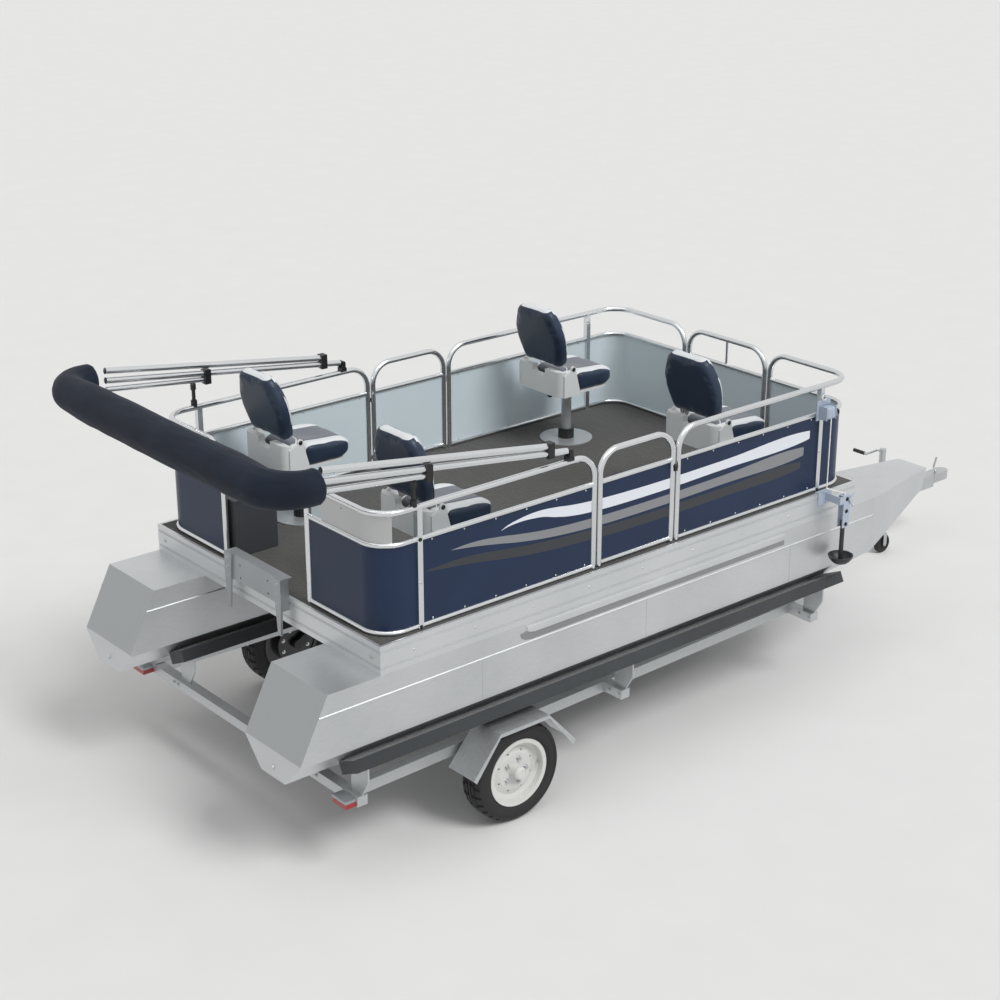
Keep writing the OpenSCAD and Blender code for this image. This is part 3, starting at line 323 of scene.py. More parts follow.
MAT = {
    # folded aluminium sheet, mill finish: bright and satin, with faint marks drawn out along the boat, and a
    # painted shade on the raked stern plates
    "pontoon": pontoon_sheet(),
    # the same sheet where it is pressed in under the strake: a flat mid grey that is painted shade, on a thin
    # strip laid over the channel
    "painted_channel_shade": surface("painted_shade_in_pressed_channel", "#8d8f91", "#999b9d", 0.5, 0.5, 0.004,
                      (0.06, 1, 1), 0.05),
    # dull grey extrusion with draw lines along it
    "beam": surface("dull_extruded_aluminium", "#9fa3a6", "#b4b8ba", 0.8, 0.5, 0.003, (0.1, 1, 1), 0.06),
    # pale satin extrusion with long fine draw lines
    "edge": surface("satin_extruded_aluminium", "#d0d3d5", "#dfe1e2", 0.75, 0.38, 0.002,
                    (0.04, 1, 1), 0.04),
    # polished tube: sharp bright highlights along it
    "rail": surface("polished_aluminium_tube", "#d7dadc", "#e6e8e9", 1.0, 0.22, 0.006, (1, 1, 1), 0.02),
    # smooth glossy navy with three painted waves, pale blue-grey inside
    "fence": fence_sheet_paint(),
    # brushed upright, so the plate's sheen runs up and down
    "plate": surface("brushed_aluminium_plate", "#b3b5b4", "#c6c8c7", 0.7, 0.4, 0.0015,
                     (1, 1, 0.05), 0.05),
    # matt warm grey with a grain along the ribs
    "deck": surface("ribbed_vinyl_decking", "#484846", "#555553", 0.0, 0.62, 0.003, (0.15, 1, 1), 0.15),
    # dark moulded plastic with a leathery grain
    "locker": surface("moulded_grained_polyethylene", "#34373b", "#43464a", 0.0, 0.5, 0.0025,
                      (1, 1, 1), 0.3),
    # near-black plastic with a soft sheen
    "black": surface("moulded_black_nylon", "#141517", "#1f2123", 0.0, 0.42, 0.002, (1, 1, 1), 0.12),
    # smooth slightly glossy off-white
    "shell": surface("moulded_white_polyethylene", "#d9dcdd", "#e6e8e8", 0.0, 0.36, 0.004,
                     (1, 1, 1), 0.05),
    # fine-grained navy, grey and white panels
    "pan": seat_vinyl("marine_vinyl_seat_pan", False),
    "back": seat_vinyl("marine_vinyl_seat_back", True),
    # matt near-black navy with a visible weave
    "canvas": woven("navy_acrylic_canvas", "#121926", "#1b2433", 0.003, 0.8, 0.0006),
    # brushed round the tube
    "post": surface("brushed_steel_tube", "#bcbfc1", "#d0d3d4", 0.6, 0.35, 0.002, (1, 1, 8), 0.04),
    # pale blue-grey coating with a light orange peel
    "gear": surface("blue_grey_powder_coat", "#a2aebf", "#b2bdcc", 0.1, 0.4, 0.0015, (1, 1, 1), 0.15),
    # dark rubbery skin with slow unevenness
    "anchor": surface("dipped_vinyl_coating", "#26282a", "#323537", 0.0, 0.45, 0.004, (1, 1, 1), 0.15),
    # dull white fibre with strong fine relief
    "rope": surface("braided_white_polyester", "#dcdcd8", "#f0efec", 0.0, 0.8, 0.003,
                    (1, 1, 1), 0.5, 0.001),
    # light grey zinc with faint crystals
    "zinc": spangled("galvanised_steel", "#bdc0c2", "#c9cccd", 0.008, 0.4),
    # dark matt pile with a soft edge of light
    "carpet": surface("bunk_carpet", "#26292c", "#3c4043", 0.0, 0.95, 0.002,
                      (1, 1, 1), 0.8, 0.002, sheen=0.3),
    # black paint with a low gloss
    "axle": surface("black_enamelled_steel", "#1c1d1f", "#2a2b2d", 0.0, 0.45, 0.003, (1, 1, 1), 0.1),
    # glossy deep red
    "lamp": surface("red_acrylic_lens", "#8d1212", "#a81a17", 0.0, 0.18, 0.003, (1, 1, 1), 0.1, coat=0.5),
    # bright bolts and jack tubes
    "plated": surface("zinc_plated_steel", "#b9bcbd", "#cfd1d2", 0.9, 0.33, 0.003, (1, 1, 1), 0.05),
    # white paint outboard, black hub inboard
    "rim": wheel_enamel(),
    # dull black with a fine moulded grain
    "tyre": surface("moulded_tyre_rubber", "#1d1d1e", "#2a2a2b", 0.0, 0.75, 0.0025, (1, 1, 1), 0.25),
}

CAD_FINISH = {
    "pontoon": ["pontoons"],
    "beam": ["deck_beams", "motor_bracket"],
    "edge": ["deck_edge"],
    "rail": ["fence_aft", "fence_bow", "gate_port", "gate_starboard", "gate_bow", "bimini_bows"],
    "fence": ["skins_aft", "skins_bow", "gate_port_skin", "gate_starboard_skin", "gate_bow_skin"],
    "plate": ["infill_plate"],
    "deck": ["deck_floor"],
    "locker": ["stern_locker", "locker_lid"],
    "black": ["bimini_mounts", "bimini_fittings", "seat_collars"],
    "canvas": ["bimini_cover"],
    "post": ["seat_posts"],
    "gear": ["anchor_davit", "anchor_winch"],
    "anchor": ["anchor"],
    "rope": ["anchor_rope"],
    "zinc": ["trailer_frame", "bunk_brackets", "fenders"],
    "carpet": ["bunks"],
    "axle": ["axle"],
    "lamp": ["tail_lights"],
    "plated": ["coupler", "jack_tube", "jack_leg", "jack_fork", "jack_crank"],
    "rim": ["wheel_port_rim", "wheel_starboard_rim"],
    "tyre": ["wheel_port_tyre", "wheel_starboard_tyre", "jack_wheel"],
    "shell": [f"seat_{i}_shell" for i in range(1, 5)],
    "pan": [f"seat_{i}_pad" for i in range(1, 5)],
    "back": [f"seat_{i}_back" for i in range(1, 5)],
}
for finish, names in CAD_FINISH.items():
    for name in names:
        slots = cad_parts[name].data.materials
        slots.clear()
        slots.append(MAT[finish])


# ---- helpers that make pieces ----
def piece(bm, name, body, finish, sharp=35):
    """Turns a bmesh into a finished piece that rides on a body."""
    bmesh.ops.recalc_face_normals(bm, faces=bm.faces)
    mesh = bpy.data.meshes.new(name)
    bm.to_mesh(mesh)
    bm.free()
    mesh.shade_smooth()
    mesh.set_sharp_from_angle(angle=math.radians(sharp))
    made = bpy.data.objects.new(name, mesh)
    bpy.context.scene.collection.objects.link(made)
    mesh.materials.append(MAT[finish])
    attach(made, body)
    return made


def turn_to(axis):
    return Vector(axis).normalized().to_track_quat("Z", "Y").to_matrix().to_4x4()


def put_box(bm, lo, hi, bevel=0.0, segments=2):
    lo, hi = Vector(lo), Vector(hi)
    size = hi - lo
    place = Matrix.Translation((lo + hi) / 2) @ Matrix.Diagonal((*size, 1))
    made = bmesh.ops.create_cube(bm, size=1, matrix=place)
    if bevel:
        edges = list({e for v in made["verts"] for e in v.link_edges})
        bmesh.ops.bevel(bm, geom=edges, offset=bevel, segments=segments, affect="EDGES", profile=0.5, material=-1)


def put_plate(bm, outline, y0, y1, bevel=0.0):
    """A flat plate from y0 to y1, from its side view as distances from the stern and the deck."""
    near = [bm.verts.new(on_deck(x, y0, z)) for x, z in outline]
    made = bmesh.ops.extrude_face_region(bm, geom=[bm.faces.new(near)])
    far = [g for g in made["geom"] if isinstance(g, bmesh.types.BMVert)]
    bmesh.ops.translate(bm, vec=(0, y1 - y0, 0), verts=far)
    if bevel:
        rim = [e for e in {e for v in far for e in v.link_edges} if all(v in far for v in e.verts)]
        bmesh.ops.bevel(bm, geom=rim, offset=bevel, segments=2, affect="EDGES", profile=0.5, material=-1)


def put_lathe(bm, profile, centre, axis, steps=32):
    """Spins a profile of (radius, height) about an axis through centre."""
    place = Matrix.Translation(centre) @ turn_to(axis)
    points = [bm.verts.new(place @ Vector((r, 0, h))) for r, h in profile]
    edges = [bm.edges.new(pair) for pair in zip(points, points[1:])]
    bmesh.ops.spin(bm, geom=points + edges, cent=centre, axis=place.to_3x3() @ Vector((0, 0, 1)),
                   angle=math.tau, steps=steps, use_merge=True)
    bmesh.ops.remove_doubles(bm, verts=bm.verts, dist=1e-5)


def put_bolt(bm, at, axis, across=0.013, height=0.006):
    """A hex head on its washer, with a chamfered crown."""
    place = Matrix.Translation(at) @ turn_to(axis)
    bmesh.ops.create_cone(bm, cap_ends=True, segments=16, radius1=across * 0.75, radius2=across * 0.72,
                          depth=0.0015, matrix=place @ Matrix.Translation((0, 0, 0.00075)))
    bmesh.ops.create_cone(bm, cap_ends=True, segments=6, radius1=across / 2, radius2=across * 0.46,
                          depth=height, matrix=place @ Matrix.Translation((0, 0, 0.0015 + height / 2)))


def put_dome(bm, at, axis, radius=0.005, height=0.0025):
    """A rivet's low round head."""
    profile = [(0, height), (radius * 0.55, height * 0.8), (radius * 0.9, height * 0.35), (radius, 0), (0, 0)]
    put_lathe(bm, profile, at, axis, 10)


def round_bead(points, radius, closed=False):
    """A round bead along points, as a bmesh made from a curve."""
    curve = bpy.data.curves.new("bead", "CURVE")
    curve.dimensions = "3D"
    curve.bevel_depth = radius
    curve.bevel_resolution = 3
    curve.use_fill_caps = not closed
    spline = curve.splines.new("POLY")
    spline.points.add(len(points) - 1)
    for target, p in zip(spline.points, points):
        target.co = (*p, 1)
    spline.use_cyclic_u = closed
    holder = bpy.data.objects.new("bead_path", curve)
    bpy.context.scene.collection.objects.link(holder)
    mesh = bpy.data.meshes.new_from_object(holder.evaluated_get(bpy.context.evaluated_depsgraph_get()))
    bpy.data.objects.remove(holder)
    bm = bmesh.new()
    bm.from_mesh(mesh)
    bmesh.ops.remove_doubles(bm, verts=bm.verts, dist=1e-6)
    return bm


def pipe(points, radius, name, body, finish, closed=False):
    return piece(round_bead(points, radius, closed), name, body, finish, 50)


# ---- deck boards with their ribs ----
RIB_PITCH = 0.022
RIB_DEPTH = 0.0025
RIB_PROFILE = ((0, 0), (0.58, 0), (0.66, -1), (0.92, -1))  # shares of the pitch and the depth


def deck_boards():
    bm = bmesh.new()
    lo, hi = Vector(FLOOR_LO), Vector(FLOOR_HI)
    line = []
    count = int((hi.y - lo.y) / RIB_PITCH)
    for i in range(count):
        y = lo.y + i * RIB_PITCH
        line += [(y + RIB_PITCH * along, RIB_DEPTH * down) for along, down in RIB_PROFILE]
    line += [(lo.y + count * RIB_PITCH, 0), (hi.y, 0), (hi.y, lo.z - hi.z), (lo.y, lo.z - hi.z)]
    ring = [bm.verts.new((lo.x, y, hi.z + z)) for y, z in line]
    end = bm.faces.new(ring)
    made = bmesh.ops.extrude_face_region(bm, geom=[end])
    bmesh.ops.translate(bm, vec=(hi.x - lo.x, 0, 0),
                        verts=[g for g in made["geom"] if isinstance(g, bmesh.types.BMVert)])
    made = piece(bm, "deck_boards", "boat", "deck", 25)
    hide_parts("deck_floor")


deck_boards()


# ---- cushions ----
VOXEL = 0.008
PRESSURE = 4.0
LAST_FRAME = 20


def simulate(obj, cap):
    """Remeshes a cushion, lets cloth swell under pressure, and keeps the swelling within cap metres."""
    bpy.context.view_layer.objects.active = obj
    remesh = obj.modifiers.new("Remesh", "REMESH")
    remesh.mode = "VOXEL"
    remesh.voxel_size = VOXEL
    bpy.ops.object.modifier_apply(modifier=remesh.name)
    rest = [v.co.copy() for v in obj.data.vertices]
    cloth = obj.modifiers.new("Cloth", "CLOTH")
    cloth.settings.use_pressure = True
    cloth.settings.uniform_pressure_force = PRESSURE
    cloth.settings.effector_weights.gravity = 0
    scene = bpy.context.scene
    for step in range(1, LAST_FRAME + 1):
        scene.frame_set(step)
    grown = obj.evaluated_get(bpy.context.evaluated_depsgraph_get()).data
    moved = [v.co.copy() for v in grown.vertices]
    obj.modifiers.remove(cloth)
    scene.frame_set(1)
    for vertex, start, end in zip(obj.data.vertices, rest, moved):
        step = end - start
        vertex.co = start + step * min(1.0, cap / max(step.length, 1e-9))


def cushion(outline, thickness, edge, name):
    """A soft slab: an outline in the XY plane, raised from z 0, with its rims rounded."""
    bm = bmesh.new()
    base = bm.faces.new([bm.verts.new((x, y, 0)) for x, y in outline])
    made = bmesh.ops.extrude_face_region(bm, geom=[base])
    top = [g for g in made["geom"] if isinstance(g, bmesh.types.BMVert)]
    bmesh.ops.translate(bm, vec=(0, 0, thickness), verts=top)
    upright = [e for e in bm.edges if abs(e.verts[0].co.z - e.verts[1].co.z) > thickness / 2]
    flat = [e for e in bm.edges if e not in upright]
    bmesh.ops.bevel(bm, geom=flat, offset=edge, segments=3, affect="EDGES", profile=0.5, material=-1)
    bmesh.ops.recalc_face_normals(bm, faces=bm.faces)
    mesh = bpy.data.meshes.new(name)
    bm.to_mesh(mesh)
    bm.free()
    made = bpy.data.objects.new(name, mesh)
    bpy.context.scene.collection.objects.link(made)
    return made


def soften(obj):
    bpy.context.view_layer.objects.active = obj
    sub = obj.modifiers.new("Subdivision", "SUBSURF")
    sub.levels = sub.render_levels = 1
    bpy.ops.object.modifier_apply(modifier=sub.name)


def furrow(distance, width):
    return math.exp(-(distance / width) ** 2)


def round_outline(points, radius, steps=4):
    """Rounds each corner of a closed outline."""
    done = []
    n = len(points)
    for i in range(n):
        before, here, after = (Vector(points[(i + k) % n]) for k in (-1, 0, 1))
        a = here + (before - here).normalized() * min(radius, (before - here).length * 0.45)
        b = here + (after - here).normalized() * min(radius, (after - here).length * 0.45)
        for k in range(steps + 1):
            t = k / steps
            done.append(a * (1 - t) ** 2 + here * 2 * t * (1 - t) + b * t * t)
    return done


PAD_LO, PAD_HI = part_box("seat_1_pad")
SEAT_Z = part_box("seat_1_shell")[0][2] + 0.010 - DECK_Z
PAD_BASE = PAD_LO[2]
PAN_T = PAD_HI[2] - PAD_LO[2]
PIVOT = Vector((-0.13, 0, PAD_HI[2] + 0.022 - DECK_Z))
POST_FROM_REAR = 0.225  # from the shell's rear wall to the post
SIDE_WALL_Y = 0.204
BACK_TILT = math.radians(14)
BACK_T = 0.078
SEAM_W = 0.005


def pan_shape():
    """The pan cushion about the seat's post: deep at the rear, thin and round in front."""
    half = [(-0.165, 0.135), (-0.088, 0.138), (-0.07, 0.196), (0.15, 0.200), (0.232, 0.165)]
    outline = round_outline([(-0.165, -0.135)] + half + [(x, -y) for x, y in reversed(half[1:])], 0.05)
    made = cushion(outline, PAN_T - 0.014, 0.026, "pan_shape")
    simulate(made, 0.012)
    soften(made)
    for v in made.data.vertices:
        x, y, z = v.co
        top = min(1.0, max(0.0, (z - PAN_T * 0.6) / 0.03))
        # sewn channels beside the middle panel and across its rear, and a hollow for the sitter
        dip = 0.0055 * (furrow(abs(y) - PAN_MIDDLE, SEAM_W) + furrow(abs(y) - PAN_STRIPE, SEAM_W))
        dip += 0.004 * furrow(x - PIPING_X + PIPING_BOW * y * y, SEAM_W) * (abs(y) < PAN_MIDDLE)
        dip += 0.012 * math.exp(-((x - 0.02) / 0.12) ** 2 - (y / 0.11) ** 2)
        z = min(z - top * dip, PAN_T)
        # the top falls to the front and the underside rises there
        ahead = min(1.0, max(0.0, (x + 0.08) / 0.3))
        under = 0.030 * max(0.0, (x - 0.13) / 0.102) ** 2
        level = z / PAN_T
        raised = level * (PAN_T - 0.028 * ahead) * (1 - under / PAN_T)
        v.co.z = max(0.0005, raised + under * (1 - level * 0.6))
    return made


def back_shape():
    """The back cushion in its own plane: x ahead, y across, z up its slope from the pivot."""
    half = [(0.160, 0.014), (0.18, 0.06), (0.206, 0.16), (0.205, 0.25), (0.142, 0.388)]
    outline = round_outline([(-y, z) for y, z in half] + [(y, z) for y, z in reversed(half)], 0.05)
    made = cushion(outline, BACK_T - 0.012, 0.02, "back_shape")
    for v in made.data.vertices:
        x, y, z = v.co
        v.co = (z - BACK_T + 0.016, -x, y)
    made.data.flip_normals()
    simulate(made, 0.011)
    soften(made)
    for v in made.data.vertices:
        x, y, z = v.co
        front = min(1.0, max(0.0, (x + 0.02) / 0.015))
        seams = furrow(abs(y) - BACK_MIDDLE, SEAM_W) + furrow(abs(y) - BACK_STRIPE, SEAM_W)
        dip = 0.005 * seams * (z > 0.03)
        dip += 0.004 * furrow(z - BROW_Z, SEAM_W)
        seam = 0.003 * furrow(x + 0.018, 0.004)
        v.co.x = x - front * dip
        v.co.y = y * (1 - seam / max(abs(y), 0.05))
        # the moulded rear and the swollen front stay within the back's own thickness
        v.co.x = max(-BACK_T, min(v.co.x, 0.018))
    return made


def place_cushion(shape, name, body, node, finish, place):
    """A copy of a cushion at its seat, with its own coordinates kept as the attribute seat_place."""
    mesh = shape.data.copy()
    mesh.name = name
    local = [c for v in mesh.vertices for c in v.co]
    mesh.transform(place)
    mark = mesh.attributes.new("seat_place", "FLOAT_VECTOR", "POINT")
    mark.data.foreach_set("vector", local)
    mesh.materials.clear()
    mesh.materials.append(MAT[finish])
    mesh.shade_smooth()
    made = bpy.data.objects.new(name, mesh)
    bpy.context.scene.collection.objects.link(made)
    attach(made, body)
    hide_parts(node)
    return made


pan = pan_shape()
back = back_shape()
LEAN = Matrix.Rotation(-BACK_TILT, 4, "Y")
for i in range(1, 5):
    lo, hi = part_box(f"seat_{i}_shell")
    post = Vector((lo[0] + POST_FROM_REAR, (lo[1] + hi[1]) / 2, DECK_Z))
    at_pan = Matrix.Translation((post.x, post.y, PAD_BASE))
    at_back = Matrix.Translation(post + PIVOT) @ LEAN
    place_cushion(pan, f"seat_{i}_cushion", f"seat_{i}", f"seat_{i}_pad", "pan", at_pan)
    place_cushion(back, f"seat_{i}_backrest", f"back_{i}", f"seat_{i}_back", "back", at_back)
    # pivot screws on the shell's side walls, two feet under the tray, and the swivel lever on the post
    bm = bmesh.new()
    for s in (-1, 1):
        put_lathe(bm, [(0, 0.005), (0.010, 0.004), (0.013, 0.001), (0.013, -0.001), (0, -0.001)],
                  post + PIVOT + Vector((0, s * SIDE_WALL_Y, 0)), (0, s, 0), 20)
        put_lathe(bm, [(0, 0.02), (0.012, 0.019), (0.014, 0.012), (0.009, 0), (0, 0)],
                  post + Vector((0.12, s * 0.06, SEAT_Z + 0.001)), (0, 0, -1), 16)
    put_box(bm, post + Vector((-0.10, 0.02, 0.325)), post + Vector((-0.03, 0.045, 0.337)), 0.003)
    put_box(bm, post + Vector((-0.115, 0.018, 0.27)), post + Vector((-0.095, 0.047, 0.335)), 0.006)
    piece(bm, f"seat_{i}_knobs", f"seat_{i}", "black")
for shape in (pan, back):
    bpy.data.objects.remove(shape)


# ---- the bimini's packed cover ----
COVER_TRIM = 0.04  # how far the canvas ends short of the CAD cover
COVER_BEND = 0.17  # radius of its corners
COVER_STEPS = 240
COVER_AROUND = 64


def cover_path(lo, hi, radius):
    """Points of the cover's centre line, with its two rounded corners, from starboard to port."""
    y = hi[1] - radius
    x0, x1, z = lo[0] + radius, hi[0], (lo[2] + hi[2]) / 2
    bend, inset, count = COVER_BEND, COVER_TRIM, COVER_STEPS
    corners = [Vector((x1, -y, z)), Vector((x0, -y, z)), Vector((x0, y, z)), Vector((x1, y, z))]
    line = [corners[0] + Vector((-inset, 0, 0))]
    for before, here, after in (corners[:3], corners[1:]):
        a = (before - here).normalized()
        b = (after - here).normalized()
        centre = here + (a + b) * bend
        for k in range(13):
            t = k / 12 * math.pi / 2
            line.append(centre - b * bend * math.cos(t) - a * bend * math.sin(t))
    line.append(corners[3] + Vector((-inset, 0, 0)))
    lengths = [0.0]
    for p, q in zip(line, line[1:]):
        lengths.append(lengths[-1] + (q - p).length)
    done = []
    for k in range(count + 1):
        s = lengths[-1] * k / count
        j = max(i for i, v in enumerate(lengths) if v <= s + 1e-9)
        j = min(j, len(line) - 2)
        t = (s - lengths[j]) / (lengths[j + 1] - lengths[j])
        done.append((s, line[j].lerp(line[j + 1], t)))
    return done, lengths[-1]


def ring_edges(bm, ring):
    """The edges round a ring of vertices, made where they are missing."""
    return [bm.edges.get(pair) or bm.edges.new(pair) for pair in zip(ring, ring[1:] + ring[:1])]


def bimini_cover():
    """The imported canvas: a soft roll with shallow folds, thinner at its two ends."""
    lo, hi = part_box("bimini_cover")
    radius = (hi[2] - lo[2]) / 2
    path, total = cover_path(lo, hi, radius)
    bm = bmesh.new()
    around = COVER_AROUND
    rings = []
    for k, (s, p) in enumerate(path):
        ahead = path[min(k + 1, len(path) - 1)][1] - path[max(k - 1, 0)][1]
        ahead.normalize()
        side = ahead.cross(Vector((0, 0, 1))).normalized()
        up = side.cross(ahead)
        end = min(s, total - s)
        full = 0.5 - 0.5 * math.cos(math.pi * min(1.0, end / 0.55))
        size = radius * (0.80 + 0.18 * full) * (1 - 0.3 * (1 - min(1.0, end / 0.022)) ** 2.5)
        ring = []
        for j in range(around):
            a = math.tau * j / around
            out = side * math.cos(a) + up * math.sin(a)
            folds = noise.noise(Vector((math.cos(a) * 1.6, math.sin(a) * 1.6, s * 2.3)))
            creases = noise.noise(Vector((math.cos(a) * 5, math.sin(a) * 5, s * 9 + 7)))
            ridges = 1 - abs(noise.noise(Vector((math.cos(a) * 3.1, math.sin(a) * 3.1, s * 5 - 3))))
            r = size + 0.005 * folds + 0.0015 * creases - 0.004 * (1 - ridges)
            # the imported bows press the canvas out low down
            sag = 0.004 * max(0.0, -math.sin(a))
            ring.append(bm.verts.new(p + out * min(r + sag, radius * 1.04)))
        rings.append(ring)
    for a, b in zip(rings, rings[1:]):
        bmesh.ops.bridge_loops(bm, edges=ring_edges(bm, a) + ring_edges(bm, b))
    for ring in (rings[0], rings[-1]):
        cap = bm.faces.new(ring)
        for inset, depth in ((0.02, -0.004), (0.03, -0.006), (0.02, 0.0)):
            bmesh.ops.inset_region(bm, faces=[cap], thickness=inset, depth=depth)
    made = piece(bm, "bimini_canvas", "bimini", "canvas", 80)
    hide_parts("bimini_cover")


bimini_cover()

# ---- tyres with tread ----
TREAD_STEPS = 96
TYRE_BEAD_R = 0.1702


def tyre(side, node, body):
    """A tyre with ribs and grooves round it and sipes cut across them; returns its centre."""
    lo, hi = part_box(node)
    centre = Vector(((lo[0] + hi[0]) / 2, (lo[1] + hi[1]) / 2, (lo[2] + hi[2]) / 2))
    r, w = (hi[2] - lo[2]) / 2, (hi[1] - lo[1]) / 2
    half = [(0, r), (0.006, r), (0.007, r - 0.007), (0.013, r - 0.007), (0.014, r - 0.0002),
            (0.032, r - 0.0008), (0.033, r - 0.008), (0.038, r - 0.008), (0.039, r - 0.0015),
            (w - 0.018, r - 0.005), (w - 0.006, r - 0.014), (w - 0.002, r - 0.024), (w - 0.001, r - 0.03),
            (w - 0.003, r - 0.031), (w, r - 0.045), (w, r - 0.055), (w - 0.002, r - 0.066),
            (w - 0.006, r - 0.076), (w - 0.009, r - 0.079), (w - 0.012, TYRE_BEAD_R + 0.006),
            (w - 0.018, TYRE_BEAD_R)]
    profile = [(rr, -h) for h, rr in reversed(half[1:])] + [(rr, h) for h, rr in half]
    bm = bmesh.new()
    put_lathe(bm, profile + [profile[0]], centre, (0, 1, 0), TREAD_STEPS)
    bmesh.ops.recalc_face_normals(bm, faces=bm.faces)
    # sipes across the shoulder blocks and the middle ribs
    cuts = []
    for face in bm.faces:
        p = face.calc_center_median() - centre
        reach = math.hypot(p.x, p.z)
        turn = round((math.atan2(p.z, p.x) / math.tau * TREAD_STEPS - 0.5) % TREAD_STEPS)
        if reach > r - 0.012 and abs(p.y) > 0.039 and turn % 3 == 0:
            cuts.append(face)
        elif reach > r - 0.004 and 0.014 < abs(p.y) < 0.033 and (turn + 1) % 4 == 0:
            cuts.append(face)
    bmesh.ops.inset_individual(bm, faces=cuts, thickness=0.002, depth=-0.005)
    made = piece(bm, side + "_tread", body, "tyre", 32)
    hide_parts(node)
    return centre


NUT_CIRCLE, DRUM_CIRCLE, STEM_CIRCLE = 0.068, 0.09, 0.148
for side, s in (("port", 1), ("starboard", -1)):
    hub = tyre(side, f"wheel_{side}_tyre", f"{side}_wheel")
    lo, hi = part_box(f"wheel_{side}_rim")
    bm = bmesh.new()
    face_y = s * (max(abs(lo[1]), abs(hi[1])) - 0.056 + 0.0065)
    for k in range(5):
        a = math.tau * k / 5
        at = Vector((hub.x + NUT_CIRCLE * math.cos(a), face_y, hub.z + NUT_CIRCLE * math.sin(a)))
        put_bolt(bm, at, (0, s, 0), 0.019, 0.014)
    inner_y = s * min(abs(lo[1]), abs(hi[1]))
    for k in range(8):
        a = math.tau * (k + 0.5) / 8
        at = Vector((hub.x + DRUM_CIRCLE * math.cos(a), inner_y, hub.z + DRUM_CIRCLE * math.sin(a)))
        put_bolt(bm, at, (0, -s, 0), 0.016, 0.006)
    stem = [(0, 0.03), (0.004, 0.029), (0.004, 0.006), (0.006, 0), (0, 0)]
    put_lathe(bm, stem, Vector((hub.x + STEM_CIRCLE, face_y, hub.z)), (-0.2, s, 0), 12)
    piece(bm, side + "_wheel_nuts", f"{side}_wheel", "plated")


# ---- fence hardware ----
bolts = bmesh.new()
black = bmesh.new()
for s in (-1, 1):
    out = FENCE_Y + 0.015
    for x in (0.27, 3.09):
        for z in (0.012, 0.46):
            put_bolt(black, on_deck(x, s * out, z), (0, s, 0), 0.014, 0.005)
        put_bolt(bolts, on_deck(x, s * out, 0.24), (0, s, 0), 0.01, 0.003)
    for x0, x1 in ((0.35, 1.33), (2.05, 3.02)):
        for k in range(6):
            x = x0 + (x1 - x0) * k / 5
            for z in (0.033, 0.439):
                put_dome(bolts, on_deck(x, s * (FENCE_Y + 0.0015), z), (0, s, 0))
                put_dome(bolts, on_deck(x, s * (FENCE_Y - 0.0015), z), (0, -s, 0))
    # round fitting on the stern post's shoulder
    if s < 0:
        fitting = [(0, 0.03), (0.018, 0.028), (0.02, 0.02), (0.02, 0.006), (0.024, 0), (0, 0)]
        put_lathe(black, fitting, on_deck(0.045, -0.45, 0.636), (0, 0, 1), 20)
    # corner castings of the deck's edge
    for x, way in ((-0.0005, -1), (DECK_L + 0.0005, 1)):
        put_bolt(bolts, on_deck(x, s * 0.93, -0.075), (way, 0, 0), 0.016, 0.004)
    for k in range(9):
        put_dome(bolts, on_deck(0.2 + 0.375 * k, s * 1.0, -0.073), (0, s, 0), 0.006, 0.003)
piece(bolts, "fence_rivets", "boat", "plated")
piece(black, "fence_black_bolts", "boat", "black")

for name, body, at, axis in (
        ("port_latch", "port_gate", on_deck(1.945, FENCE_Y + 0.016, 0.425), (0, 1, 0)),
        ("starboard_latch", "starboard_gate", on_deck(1.945, -FENCE_Y - 0.016, 0.425), (0, -1, 0)),
        ("bow_latch", "bow_gate", on_deck(3.345 + 0.016, -0.3, 0.425), (1, 0, 0))):
    bm = bmesh.new()
    put_lathe(bm, [(0, 0.012), (0.012, 0.011), (0.014, 0.006), (0.014, 0), (0, 0)], at, axis, 20)
    put_box(bm, at - Vector((0.011, 0.011, 0.024)), at + Vector((0.011, 0.011, 0.0)), 0.003)
    piece(bm, name, body, "black")


# ---- pontoon hardware: the pressed strake, weld beads and drain plugs ----
BEAD_R = 0.0022  # a weld bead's radius


def pontoon_details():
    lip, shade = bmesh.new(), bmesh.new()
    # side views of the pressed rail and of the channel below it, in metres from the stern and the deck; the
    # channel is a thin strip whose grey is painted shade
    rail = [(0.905, -0.168), (2.80, -0.168), (2.80, -0.206), (0.955, -0.206), (0.925, -0.2),
            (0.905, -0.188)]
    channel = [(0.862, -0.198), (0.90, -0.190), (0.925, -0.2035), (0.955, -0.2065), (2.80, -0.2065),
               (2.80, -0.236), (0.94, -0.243), (0.895, -0.237), (0.87, -0.222)]
    for s in (-1, 1):
        put_plate(lip, rail, s * 0.999, s * 1.007, 0.0025)
        # the channel strip stands just proud of the side, coloured grey as painted shade under the rail
        put_plate(shade, channel, s * 0.999, s * 1.0018)
    piece(lip, "pontoon_strakes", "boat", "edge")
    piece(shade, "pontoon_channel_painted_shade", "boat", "painted_channel_shade")
    beads = bmesh.new()
    for s in (-1, 1):
        for x in (0.62, 1.74, 2.86):
            ring = [(1.0, -0.262), (1.0, -0.48), (0.869, -0.612), (0.671, -0.612), (0.54, -0.48),
                    (0.54, -0.262)]
            path = [on_deck(x, s * a, b) for a, b in ring]
            extra = round_bead(path, BEAD_R)
            scratch = bpy.data.meshes.new("bead")
            extra.to_mesh(scratch)
            extra.free()
            beads.from_mesh(scratch)
            bpy.data.meshes.remove(scratch)
        plug = [(0, 0.012), (0.01, 0.012), (0.012, 0.009), (0.012, 0.004), (0.018, 0.003), (0.018, 0), (0, 0)]
        put_lathe(beads, plug, on_deck(-0.468, s * 0.77, -0.56), (-1, 0, 0), 20)
    piece(beads, "pontoon_welds", "boat", "pontoon")


pontoon_details()

